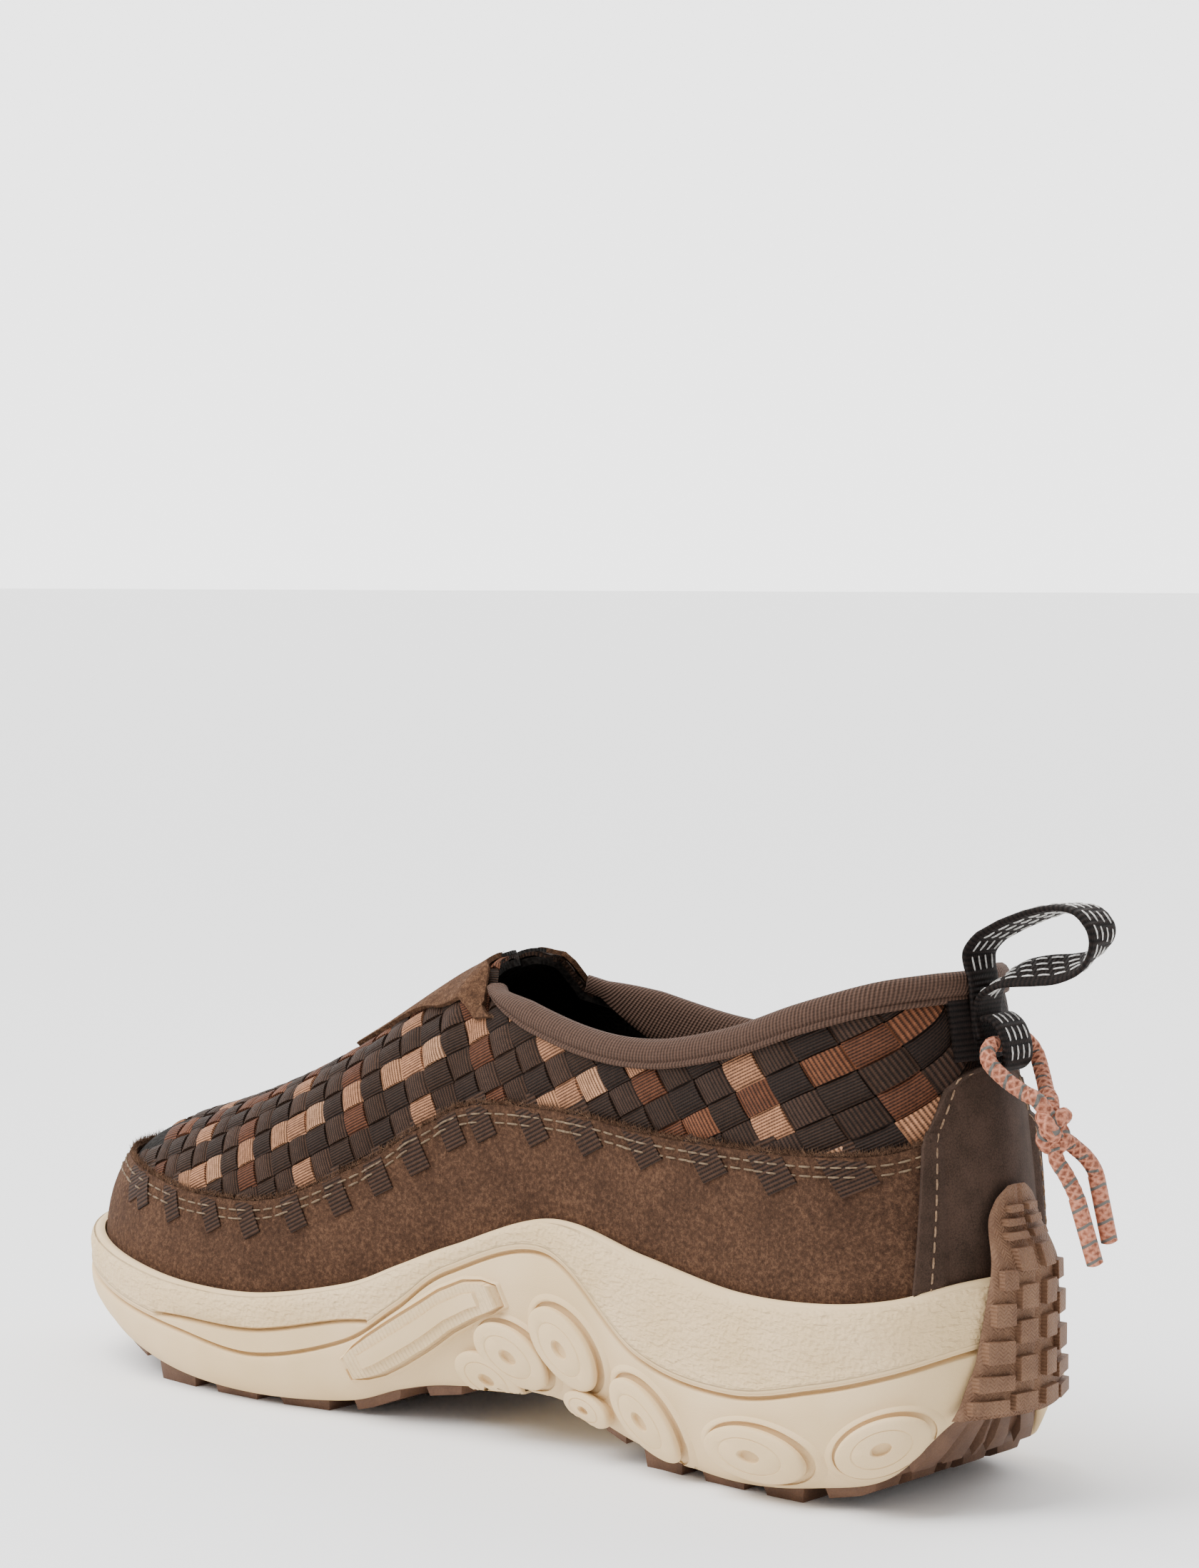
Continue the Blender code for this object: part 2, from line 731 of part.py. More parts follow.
# Heel wrap: rubber that climbs the heel back in a rounded tongue
WRAP_SHAPE = (
    # height as a share of the rim height, half width as a share of the heel's
    (0.56, 0.545),
    (0.68, 0.490),
    (0.80, 0.440),
    (0.93, 0.425),
    (1.04, 0.415),
    (1.15, 0.385),
    (1.24, 0.300),
    (1.30, 0.190),
    (1.335, 0.060),
)
WRAP_COLUMNS = (-1.0, -0.60, -0.50, -0.12, 0.12, 0.50, 0.60, 1.0)


def heel_face(across, up):
    """Distance from the heel back to the outermost face at this place."""
    fine = np.linspace(0.0, 2.6, 105)
    sole = np.array([outline(u) for u in fine])
    along = float(np.interp(abs(across), sole[:, 1], sole[:, 0]))
    cover = CLEAR + COUNTER_WALL + WEAVE_RISE
    profile = section(0.0)
    lean = float(np.interp(up, profile[:, 2], profile[:, 0])) - cover
    over = lean + along
    blend = min(1.0, max(0.0, (up - at("rim", 0.0)) / (0.24 * RIM_HEIGHT)))
    blend = blend * blend * (3 - 2 * blend)
    return along + (over - along) * blend - 2 * CLEAR


def build_wrap():
    bm = bmesh.new()
    rows = []
    for share, width in WRAP_SHAPE:
        up = share * RIM_HEIGHT
        row = []
        for across_share in WRAP_COLUMNS:
            across = across_share * width * HALF
            row.append(bm.verts.new(place(heel_face(across, up), across, up)))
        rows.append(row)
    faces = grid_faces(bm, rows)
    outward(bm, faces)
    mesh = bpy.data.meshes.new("heel_wrap")
    bm.to_mesh(mesh)
    bm.free()
    sheet = add_object("heel_wrap", mesh, RUBBER)
    solidify(sheet, WRAP_WALL, 1)
    mesh = bpy.data.meshes.new_from_object(
        sheet.evaluated_get(bpy.context.evaluated_depsgraph_get()))
    sheet.modifiers.clear()
    sheet.data = mesh
    bm = bmesh.new()
    bm.from_mesh(mesh)
    blocks = []
    per_row = len(WRAP_COLUMNS) - 1
    for face in bm.faces:
        if face.normal.x < 0.3 or len(face.verts) != 4:
            continue
        middle = face.calc_center_median()
        row = int(np.searchsorted([r[0] * RIM_HEIGHT for r in WRAP_SHAPE], middle.z)) - 1
        width = np.interp(middle.z, [r[0] * RIM_HEIGHT for r in WRAP_SHAPE],
                          [r[1] * HALF for r in WRAP_SHAPE])
        cell = int(np.searchsorted(WRAP_COLUMNS, -middle.y / width)) - 1
        outer = face.normal.x > 0 and middle.x > -heel_face(-middle.y, middle.z) + 0.5 * WRAP_WALL
        if outer and cell in (0, 2, 4, 6) and row in (0, 2, 4) and 0 <= cell < per_row:
            blocks.append(face)
    bmesh.ops.inset_individual(bm, faces=blocks, thickness=LUG_TAPER, depth=0.0)
    bmesh.ops.inset_individual(bm, faces=blocks, thickness=LUG_TAPER * 0.6, depth=WRAP_BLOCK)
    bm.to_mesh(mesh)
    bm.free()
    return sheet


# Round pods and the bare raised plate on the side of the midsole
PODS_MEDIAL = (
    # name, along as a share of the length, up as a share of the rim, tilt in degrees, size
    ("b", 0.430, 0.400, 26.0, 0.90),
    ("c", 0.372, 0.478, 38.0, 0.95),
    ("d", 0.285, 0.282, 34.0, 0.76),
    ("e", 0.164, 0.236, 4.0, 0.84),
    ("f", 0.070, 0.330, -28.0, 0.74),
)
PODS_LATERAL = (
    ("b", 0.435, 0.420, 14.0, 0.80),
    ("c", 0.350, 0.375, 18.0, 0.76),
    ("d", 0.265, 0.285, 12.0, 0.76),
    ("e", 0.164, 0.235, 2.0, 0.84),
    ("f", 0.073, 0.345, -28.0, 0.68),
)
POD_RINGS = ((0.5, 0.0), (1.0, 0.0), (1.0, 0.55), (0.80, 1.0), (0.26, 1.0), (0.18, 0.72))


def side_frame(u, up):
    """Point of the wall's outline at a station, its outward and its forward way."""
    along, across = outline(u, 0.0)
    ahead = outline(u + 0.03, 0.0)
    behind = outline(u - 0.03, 0.0)
    tangent = (place(ahead[0], ahead[1], 0) - place(behind[0], behind[1], 0)).normalized()
    if tangent.x > 0:
        tangent = -tangent
    side = 1 if across > 0 else -1
    out = Vector((tangent.y, -tangent.x, 0.0)) * (1 if side > 0 else -1)
    if out.y * side > 0:
        out = -out
    return place(along, across, up), out, tangent


def on_wall(tree, point, out, lift):
    hit, normal, _, _ = tree.ray_cast(point + out * 0.02, -out)
    if hit is None:
        hit, normal, _, _ = tree.find_nearest(point)
    return hit + out * lift


def build_pod(tree, name, along, up, tilt, size, side):
    u = station_at(SOLE_LENGTH * along, side)
    centre, out, tangent = side_frame(u, RIM_HEIGHT * up)
    turn = math.radians(tilt)
    long_way = tangent * math.cos(turn) + Vector((0, 0, 1)) * math.sin(turn)
    short_way = Vector((0, 0, 1)) * math.cos(turn) - tangent * math.sin(turn)
    bm = bmesh.new()
    rows = []
    for reach, rise in POD_RINGS:
        row = []
        for k in range(16):
            angle = 2 * math.pi * k / 16
            flat = long_way * math.cos(angle) * POD_LENGTH / 2 * size * reach
            flat += short_way * math.sin(angle) * POD_HEIGHT / 2 * size * reach
            row.append(bm.verts.new(on_wall(tree, centre + flat, out, POD_CLEAR + POD_RISE * rise)))
        rows.append(row)
    for a, b in zip(rows[:-1], rows[1:]):
        for k in range(16):
            bm.faces.new((a[k], a[(k + 1) % 16], b[(k + 1) % 16], b[k]))
    for row, rise in ((rows[0], 0.0), (rows[-1], POD_RINGS[-1][1])):
        hub = bm.verts.new(on_wall(tree, centre, out, POD_CLEAR + POD_RISE * rise))
        for k in range(16):
            bm.faces.new((row[k], row[(k + 1) % 16], hub))
    return mesh_object(name, bm, EVA)


PLATE_LINE = (
    # along as a share of the length, up as a share of the rim height
    (0.595, 0.235),
    (0.575, 0.290),
    (0.550, 0.370),
    (0.525, 0.455),
    (0.500, 0.545),
    (0.475, 0.610),
    (0.450, 0.640),
)
PLATE_HALF = 0.0047


def build_plate(tree):
    bm = bmesh.new()
    sheets = []
    for lift in (POD_CLEAR, POD_CLEAR + PLATE_RISE):
        rows = []
        for i, (along, up) in enumerate(PLATE_LINE):
            end = i in (0, len(PLATE_LINE) - 1)
            half = PLATE_HALF * (0.55 if end else 1.0)
            row = []
            for j in range(5):
                u = station_at(SOLE_LENGTH * along + half * 0.5 * (j - 2) / 2)
                point, out, _ = side_frame(u, RIM_HEIGHT * up + half * (j - 2) / 2)
                row.append(bm.verts.new(on_wall(tree, point, out, lift)))
            rows.append(row)
        grid_faces(bm, rows)
        sheets.append(rows)
    low, high = sheets
    last = len(PLATE_LINE) - 1
    for i in range(last):
        for j in (0, 4):
            bm.faces.new((low[i][j], low[i + 1][j], high[i + 1][j], high[i][j]))
    for i in (0, last):
        for j in range(4):
            bm.faces.new((low[i][j], low[i][j + 1], high[i][j + 1], high[i][j]))
    return mesh_object("side_plate", bm, EVA)


# Heel loops: forward and up from the top of the heel back, as shares of the
# pull loop's reach, and the roll of the band in degrees
PULL_ARC = (
    (-0.055, 0.045, 4.0),
    (-0.061, 0.140, 8.0),
    (-0.180, 0.256, 10.0),
    (-0.375, 0.347, 10.0),
    (-0.556, 0.417, 8.0),
    (-0.736, 0.461, 4.0),
    (-0.889, 0.450, 0.0),
    (-0.989, 0.361, 0.0),
    (-0.994, 0.250, 8.0),
    (-0.903, 0.139, 22.0),
    (-0.736, 0.072, 30.0),
    (-0.556, 0.044, 32.0),
    (-0.361, 0.006, 26.0),
    (-0.236, -0.056, 14.0),
)
LEG_HEIGHTS = (-0.556, -0.422, -0.292)
CORD_ARC = (
    (-0.053, -0.290),
    (-0.110, -0.286),
    (-0.172, -0.339),
    (-0.194, -0.445),
    (-0.172, -0.545),
    (-0.118, -0.600),
    (-0.066, -0.610),
)


def face_from_top(up):
    """Upper's heel face at a height below its top, forward from the heel top."""
    along0, up0 = heel_top()
    profile = section(0.0)
    return float(np.interp(up0 + up, profile[:, 2], profile[:, 0])) - along0


def pull_points():
    inner = CLEAR + WEBBING_THICKNESS / 2
    outer = inner + WEBBING_THICKNESS + CLEAR
    roll_side = BINDING_THICKNESS / 2 + inner
    low = [(face_from_top(PULL_REACH * h) - inner, PULL_REACH * h, 0.0) for h in LEG_HEIGHTS]
    middle = -ROLL_SPACE / 2
    past = [(-roll_side, middle, 0.0), (-roll_side, middle * 0.4, 0.0)]
    arc = [(PULL_REACH * a, PULL_REACH * b, c) for a, b, c in PULL_ARC]
    back = [(-roll_side - (outer - inner), middle * 1.6, 4.0)]
    down = [(face_from_top(PULL_REACH * h) - outer, PULL_REACH * h, 0.0)
            for h in LEG_HEIGHTS[:0:-1]]
    return low + past + arc + back + down


def cord_loop_points():
    """The small loop starts and ends on the pull loop's outer leg."""
    outer = 1.5 * WEBBING_THICKNESS + 2 * CLEAR
    return [(face_from_top(PULL_REACH * b) - outer + PULL_REACH * a, PULL_REACH * b, 0.0)
            for a, b in CORD_ARC]


def smooth_path(points, count):
    """Even points on a smooth run through the given ones."""
    run = [np.array(p, dtype=float) for p in points]
    run = [2 * run[0] - run[1]] + run + [2 * run[-1] - run[-2]]
    fine = []
    for i in range(1, len(run) - 2):
        a, b, c, d = run[i - 1:i + 3]
        for f in np.linspace(0, 1, 12, endpoint=False):
            bend = (2 * a - 5 * b + 4 * c - d) * f * f + (3 * b - a - 3 * c + d) * f ** 3
            fine.append(0.5 * (2 * b + (c - a) * f + bend))
    fine.append(run[-2])
    fine = np.array(fine)
    steps = np.linalg.norm(np.diff(fine, axis=0), axis=1)
    walked = np.concatenate([[0.0], np.cumsum(steps)])
    wanted = np.linspace(0.0, walked[-1], count)
    return np.stack([np.interp(wanted, walked, fine[:, k]) for k in range(fine.shape[1])], axis=1)


def heel_top():
    along, _, up = topline(0.0)
    return along, up + ROLL_SPACE


def ribbon(name, path, count, width, look):
    """A flat band of webbing along a path in the shoe's middle plane."""
    along0, up0 = heel_top()
    bm = bmesh.new()
    rows = []
    points = smooth_path(path, count)
    for i, (along, up, roll) in enumerate(points):
        step = points[min(i + 1, count - 1)] - points[max(i - 1, 0)]
        size = math.hypot(step[0], step[1])
        flat = (step[1] / size, -step[0] / size)
        lean = math.sin(math.radians(roll))
        row = []
        for share in (-0.5, 0.0, 0.5):
            shift = share * width * lean
            across = share * width * math.cos(math.radians(roll))
            row.append(bm.verts.new(place(along0 + along + flat[0] * shift, across,
                                          up0 + up + flat[1] * shift)))
        rows.append(row)
    grid_faces(bm, rows)
    bmesh.ops.recalc_face_normals(bm, faces=bm.faces)
    mesh = bpy.data.meshes.new(name)
    bm.to_mesh(mesh)
    bm.free()
    made = add_object(name, mesh, look)
    solidify(made, WEBBING_THICKNESS, 0)
    return made


# Cord: points are forward, across and up from the top of the heel back
CORD_MEDIAL = (
    (-0.0097, 0.0008, -0.0162),
    (-0.0097, 0.0062, -0.0163),
    (-0.0112, 0.0086, -0.0195),
    (-0.0150, 0.0076, -0.0232),
    (-0.0190, 0.0056, -0.0262),
    (-0.0222, 0.0042, -0.0282),
)
CORD_LATERAL = (
    (-0.0097, -0.0036, -0.0162),
    (-0.0097, -0.0076, -0.0163),
    (-0.0112, -0.0098, -0.0195),
    (-0.0144, -0.0080, -0.0240),
    (-0.0180, -0.0046, -0.0272),
    (-0.0210, -0.0022, -0.0290),
)
KNOT_PLACE = (-0.0240, 0.0010, -0.0345)
TAIL_MEDIAL = (
    (-0.0248, 0.0010, -0.0412),
    (-0.0265, -0.0004, -0.0450),
    (-0.0282, -0.0022, -0.0500),
)
TAIL_LATERAL = (
    (-0.0262, -0.0033, -0.0386),
    (-0.0284, -0.0058, -0.0416),
    (-0.0298, -0.0076, -0.0452),
)
TIP_MEDIAL_WAY = (-0.22, -0.18, -1.0)
TIP_LATERAL_WAY = (-0.14, -0.16, -1.0)


def cord_points(run):
    along0, up0 = heel_top()
    count = max(4, int(round(cord_length(run) / (2.2 * CORD_DIAMETER))) + 1)
    points = smooth_path(run, count)
    return [place(along0 + p[0], p[1], up0 + p[2]) for p in points]


def cord_length(run):
    points = np.array(run)
    return float(np.sum(np.linalg.norm(np.diff(points, axis=0), axis=1)))


def build_cord():
    tube("cord_medial", cord_points(CORD_MEDIAL), CORD_DIAMETER / 2, CORD)
    tube("cord_lateral", cord_points(CORD_LATERAL), CORD_DIAMETER / 2, CORD)
    tube("tail_medial", cord_points(TAIL_MEDIAL), CORD_DIAMETER / 2, CORD)
    tube("tail_lateral", cord_points(TAIL_LATERAL), CORD_DIAMETER / 2, CORD)
    along0, up0 = heel_top()
    bm = bmesh.new()
    bmesh.ops.create_uvsphere(bm, u_segments=14, v_segments=8, radius=KNOT_WIDTH / 2)
    bmesh.ops.scale(bm, vec=Vector((0.92, 1.0, 0.96)), verts=bm.verts)
    centre = place(along0 + KNOT_PLACE[0], KNOT_PLACE[1], up0 + KNOT_PLACE[2])
    bmesh.ops.translate(bm, vec=centre, verts=bm.verts)
    mesh_object("cord_knot", bm, CORD)
    for name, tail, way in (("tip_medial", TAIL_MEDIAL, TIP_MEDIAL_WAY),
                            ("tip_lateral", TAIL_LATERAL, TIP_LATERAL_WAY)):
        end = place(along0 + tail[-1][0], tail[-1][1], up0 + tail[-1][2])
        slope = place(*way).normalized()
        start = end + slope * (CLEAR + 0.0006)
        tube(name, [start, start + slope * TIP_LENGTH / 2, start + slope * TIP_LENGTH],
             TIP_DIAMETER / 2, CORD)


def settle():
    """Stand the shoe on the floor with its middle over the origin."""
    low = Vector((1e9, 1e9, 1e9))
    high = -low
    depsgraph = bpy.context.evaluated_depsgraph_get()
    for made in SHOE.objects:
        if made.name.startswith(("cord_medial", "cord_lateral", "cord_knot", "tail", "tip")):
            continue
        mesh = made.evaluated_get(depsgraph).to_mesh()
        for vert in mesh.vertices:
            for axis in range(3):
                low[axis] = min(low[axis], vert.co[axis])
                high[axis] = max(high[axis], vert.co[axis])
    shift = Vector((-(low.x + high.x) / 2, -(low.y + high.y) / 2, -low.z))
    for made in SHOE.objects:
        made.location = shift


def build():
    upper = build_upper()
    midsole = build_midsole()
    build_rand()
    build_counter()
    build_instep(upper)
    build_binding()
    build_insole()
    build_tread("tread_forefoot", FOREFOOT_ROWS)
    build_tread("tread_heel", HEEL_ROWS)
    build_wrap()
    tree = surface_tree(midsole)
    for name, along, up, tilt, size in PODS_MEDIAL:
        build_pod(tree, "pod_medial_" + name, along, up, tilt, size, 1)
    for name, along, up, tilt, size in PODS_LATERAL:
        build_pod(tree, "pod_lateral_" + name, along, up, tilt, size, -1)
    build_plate(tree)
    ribbon("pull_loop", pull_points(), 40, WEBBING_WIDTH, PULL)
    ribbon("cord_loop", cord_loop_points(), 12, WEBBING_WIDTH, PULL)
    build_cord()
    settle()


build()
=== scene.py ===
"""Slip-on walking shoe for the right foot: fine surfaces, finishes and studio.

Inside this file a place on the shoe is given as forward from the heel back,
across towards the inner side, and up from the floor, in metres. A station
counts round the shoe from the heel back, along the inner side, round the toe
and back along the outer side.
"""
import math

import bpy
import numpy as np
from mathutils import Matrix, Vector
from mathutils.bvhtree import BVHTree

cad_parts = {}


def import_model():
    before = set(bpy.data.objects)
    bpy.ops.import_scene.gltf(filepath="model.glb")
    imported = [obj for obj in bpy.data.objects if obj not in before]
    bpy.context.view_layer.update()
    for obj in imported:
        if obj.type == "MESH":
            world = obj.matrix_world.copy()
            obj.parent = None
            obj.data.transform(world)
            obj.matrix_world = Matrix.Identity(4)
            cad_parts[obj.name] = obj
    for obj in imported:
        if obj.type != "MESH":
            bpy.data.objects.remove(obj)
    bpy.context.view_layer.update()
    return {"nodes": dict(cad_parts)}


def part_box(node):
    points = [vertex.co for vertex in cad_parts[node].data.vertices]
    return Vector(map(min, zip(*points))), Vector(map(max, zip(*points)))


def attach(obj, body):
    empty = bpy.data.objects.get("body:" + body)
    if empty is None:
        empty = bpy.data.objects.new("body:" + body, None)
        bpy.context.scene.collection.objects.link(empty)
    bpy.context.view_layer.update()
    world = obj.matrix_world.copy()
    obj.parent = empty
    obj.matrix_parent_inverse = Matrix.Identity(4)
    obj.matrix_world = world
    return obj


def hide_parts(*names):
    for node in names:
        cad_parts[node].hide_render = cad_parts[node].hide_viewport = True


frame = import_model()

bl_info = {
    "name": "Slip-on walking shoe",
    "version": (1, 0, 0),
    "blender": (4, 5, 0),
    "location": "3D View > Sidebar > Shoe",
    "description": "Models the woven upper, the overlays, the sole and the cord of a slip-on shoe",
    "category": "Add Mesh",
}

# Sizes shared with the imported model
SOLE_LENGTH = 0.298
HALF = 0.0515
RIM_HEIGHT = 0.057
COLLAR_HEIGHT = 0.124
HALF_OPENING = 0.031
UPPER_INSET = 0.0057
ROLL_SPACE = 0.0068
ROLL_CLEAR = 0.0006
BINDING_HEIGHT = 0.0062
TREAD_INSET = 0.0050
RIM_INSET = 0.0015
LIP_WIDTH = 0.0021
STATIONS = 15
CLOSED_FROM = 9
ROLL_END = 7.6
ROLL_FADE = 0.5
MM = 0.001
SHOE_MIDDLE = (SOLE_LENGTH * 0.45, 0.0, RIM_HEIGHT * 0.8)
WELD_GAP = 0.00002

# along, medial, lateral half widths
OUTLINE = np.array((
    (0.000, 0.000, 0.000), (0.018, 0.350, 0.350), (0.055, 0.600, 0.600),
    (0.115, 0.725, 0.735), (0.200, 0.735, 0.755), (0.300, 0.700, 0.770),
    (0.400, 0.680, 0.815), (0.500, 0.735, 0.895), (0.552, 0.790, 0.940),
    (0.605, 0.855, 0.980), (0.695, 0.950, 1.020), (0.785, 0.965, 0.980),
    (0.865, 0.900, 0.805), (0.935, 0.725, 0.530), (0.981, 0.480, 0.210),
    (1.000, 0.155, -0.155)))
# along, medial, lateral half widths, medial and lateral heights of the collar and ridge
TOPLINE = np.array((
    (0.057, 0.000, 0.000, 1.000, 1.000), (0.066, 0.420, 0.420, 1.000, 1.000),
    (0.094, 0.770, 0.770, 0.986, 0.982), (0.148, 0.960, 0.960, 0.942, 0.925),
    (0.215, 1.000, 1.000, 0.882, 0.860), (0.296, 0.985, 0.985, 0.840, 0.812),
    (0.376, 0.920, 0.920, 0.845, 0.815), (0.480, 0.710, 0.710, 0.892, 0.872),
    (0.520, 0.400, 0.400, 0.915, 0.908), (0.537, 0.000, 0.000, 0.915, 0.915),
    (0.631, 0.000, 0.000, 0.774, 0.774), (0.725, 0.000, 0.000, 0.655, 0.655),
    (0.805, 0.016, -0.016, 0.577, 0.577), (0.859, 0.065, -0.065, 0.532, 0.532),
    (0.893, 0.113, -0.113, 0.504, 0.504), (0.909, 0.145, -0.145, 0.488, 0.488)))
# medial rim, lateral rim, medial groove, lateral groove, tread, footbed, second groove
SOLE_HEIGHTS = np.array((
    (0.965, 0.965, 0.700, 0.700, 0.490, 0.650, 0.62),
    (0.947, 0.947, 0.660, 0.660, 0.410, 0.650, 0.57),
    (0.886, 0.886, 0.580, 0.580, 0.184, 0.640, 0.46),
    (0.847, 0.851, 0.490, 0.490, 0.112, 0.632, 0.38),
    (0.842, 0.842, 0.407, 0.430, 0.068, 0.605, 0.31),
    (0.916, 0.877, 0.486, 0.475, 0.123, 0.570, 0.37),
    (1.000, 0.904, 0.846, 0.580, 0.250, 0.544, 0.64),
    (0.825, 0.807, 0.710, 0.545, 0.228, 0.509, 0.56),
    (0.710, 0.719, 0.518, 0.456, 0.180, 0.456, 0.46),
    (0.596, 0.632, 0.342, 0.351, 0.096, 0.395, 0.433),
    (0.504, 0.535, 0.230, 0.246, 0.066, 0.342, 0.340),
    (0.496, 0.509, 0.277, 0.277, 0.091, 0.342, 0.335),
    (0.532, 0.535, 0.333, 0.333, 0.170, 0.377, 0.320),
    (0.570, 0.570, 0.395, 0.395, 0.260, 0.421, 0.370),
    (0.605, 0.605, 0.440, 0.440, 0.325, 0.456, 0.415),
    (0.623, 0.623, 0.456, 0.456, 0.345, 0.474, 0.430)))
# medial and lateral rand edge, fullness, shoulder
UPPER_SHAPE = np.array((
    (0.702, 0.702, 2.20, 1.00), (0.700, 0.700, 2.20, 1.00), (0.673, 0.673, 2.10, 1.00),
    (0.660, 0.661, 1.90, 1.00), (0.656, 0.653, 1.80, 1.00), (0.657, 0.637, 1.80, 1.00),
    (0.671, 0.621, 1.90, 0.95), (0.657, 0.589, 2.10, 0.80), (0.597, 0.548, 2.20, 0.66),
    (0.516, 0.500, 2.20, 0.58), (0.419, 0.452, 2.20, 0.53), (0.399, 0.444, 2.30, 0.50),
    (0.407, 0.456, 2.50, 0.50), (0.419, 0.452, 2.70, 0.50), (0.427, 0.444, 2.80, 0.50),
    (0.431, 0.431, 2.80, 0.50)))


def pair(table, near, far, scale, sign=1):
    """One value once round the shoe: heel, inner side, toe, outer side."""
    return np.concatenate([table[:, near] * scale, sign * scale * table[-2:0:-1, far]])


RUN = {
    "along": pair(OUTLINE, 0, 0, SOLE_LENGTH),
    "across": pair(OUTLINE, 1, 2, HALF, -1),
    "top along": pair(TOPLINE, 0, 0, SOLE_LENGTH),
    "top across": pair(TOPLINE, 1, 2, HALF_OPENING, -1),
    "top": pair(TOPLINE, 3, 4, COLLAR_HEIGHT),
    "rim": pair(SOLE_HEIGHTS, 0, 1, RIM_HEIGHT),
    "groove": pair(SOLE_HEIGHTS, 2, 3, RIM_HEIGHT),
    "tread": pair(SOLE_HEIGHTS, 4, 4, RIM_HEIGHT),
    "footbed": pair(SOLE_HEIGHTS, 5, 5, RIM_HEIGHT),
    "second": pair(SOLE_HEIGHTS, 6, 6, RIM_HEIGHT),
    "rand": pair(UPPER_SHAPE, 0, 1, COLLAR_HEIGHT),
    "fullness": pair(UPPER_SHAPE, 2, 2, 1.0),
    "shoulder": pair(UPPER_SHAPE, 3, 3, 1.0),
}


def between(a, b, c, d, f):
    """Value a share of the way from b to c, on a smooth run through all four."""
    bend = (2 * a - 5 * b + 4 * c - d) * f * f + (3 * b - a - 3 * c + d) * f ** 3
    return 0.5 * (2 * b + (c - a) * f + bend)


def unit(ways, tiny=1e-12):
    """The same ways, each one long."""
    return ways / (np.linalg.norm(ways, axis=-1, keepdims=True) + tiny)


def at(name, u):
    """Smooth value of a run at fractional stations."""
    run = RUN[name]
    u = np.asarray(u, float)
    i = np.floor(u).astype(int)
    return between(*(run[(i + k) % len(run)] for k in (-1, 0, 1, 2)), u - i)


def outline(u, inset=0.0):
    """Plan points of the sole's outline, moved inwards by the inset."""
    du = at("along", u + 0.02) - at("along", u - 0.02)
    dv = at("across", u + 0.02) - at("across", u - 0.02)
    size = np.hypot(du, dv)
    return at("along", u) + inset * dv / size, at("across", u) - inset * du / size


def topline(u):
    """Upper's top edge: under the collar roll, then the ridge of the vamp."""
    u = np.asarray(u, float) % (2 * STATIONS)
    side = np.minimum(u, 2 * STATIONS - u)
    closed = side >= CLOSED_FROM
    other = 2 * STATIONS - u
    across = np.where(closed, 0.5 * (at("top across", u) + at("top across", other)),
                      at("top across", u))
    up = np.where(closed, 0.5 * (at("top", u) + at("top", other)), at("top", u))
    open_share = np.clip((ROLL_END + ROLL_FADE - side) / ROLL_FADE, 0, 1)
    return at("top along", u), across, up - ROLL_SPACE * open_share


def sections(u, count=96):
    """Outer face of the upper in upright sections, bottom to top."""
    base_along, base_across = outline(u, UPPER_INSET)
    top_along, top_across, top = topline(u)
    foot = at("footbed", u)
    share = 1 - (1 - np.arange(count + 1) / count) ** 2
    reach = np.maximum(0, 1 - share[None] ** at("fullness", u)[:, None])
    reach = reach ** at("shoulder", u)[:, None]
    along = top_along[:, None] + (base_along - top_along)[:, None] * reach
    across = top_across[:, None] + (base_across - top_across)[:, None] * reach
    return np.stack([along, across, foot[:, None] + (top - foot)[:, None] * share], -1)


def walked(points):
    """Distance walked from the first point to each one."""
    steps = np.linalg.norm(np.diff(points, axis=0), axis=1)
    return np.concatenate([[0.0], np.cumsum(steps)])


def placed_along(wanted, way, points):
    """Points of a run at the wanted distances along it."""
    return np.stack([np.interp(wanted, way, column) for column in points.T], -1)


def spread(points, count):
    """The same run of points, evenly spaced along its length."""
    way = walked(points)
    return placed_along(np.linspace(0.0, way[-1], count + 1), way, points)


EDGE = 8
TOP = 48
STEP = 0.05


def shell_grid():
    """Points of the upper's outer face: EDGE levels up to the rand's edge, then the rest."""
    u = np.arange(0, 2 * STATIONS + STEP / 2, STEP)
    rows = []
    for points, height in zip(sections(u), at("rand", u)):
        i = min(max(int(np.searchsorted(points[:, 2], height)), 1), len(points) - 1)
        f = (height - points[i - 1, 2]) / (points[i, 2] - points[i - 1, 2])
        middle = points[i - 1] + (points[i] - points[i - 1]) * f
        low = spread(np.vstack([points[:i], middle]), EDGE)
        high = spread(np.vstack([middle, points[i:]]), TOP - EDGE)
        rows.append(np.vstack([low, high[1:]]))
    return np.array(rows)


def face_normals(grid):
    """Unit normals of a grid of points, pointing away from the shoe's middle."""
    cross = unit(np.cross(np.gradient(grid, axis=1), np.gradient(grid, axis=0)))
    return cross if np.mean(np.sum((grid - SHOE_MIDDLE) * cross, -1)) >= 0 else -cross


SHELL = shell_grid()
SHELL_OUT = face_normals(SHELL)


def blended(grid, i, j):
    """Values between the points of a grid, at fractional rows and columns."""
    i = np.clip(i, 0, grid.shape[0] - 1.001)
    j = np.clip(j, 0, grid.shape[1] - 1.001)
    a, b = np.floor(i).astype(int), np.floor(j).astype(int)
    f, g = i - a, j - b
    if grid.ndim == 3:
        f, g = f[..., None], g[..., None]
    low = grid[a, b] * (1 - f) + grid[a + 1, b] * f
    high = grid[a, b + 1] * (1 - f) + grid[a + 1, b + 1] * f
    return low * (1 - g) + high * g


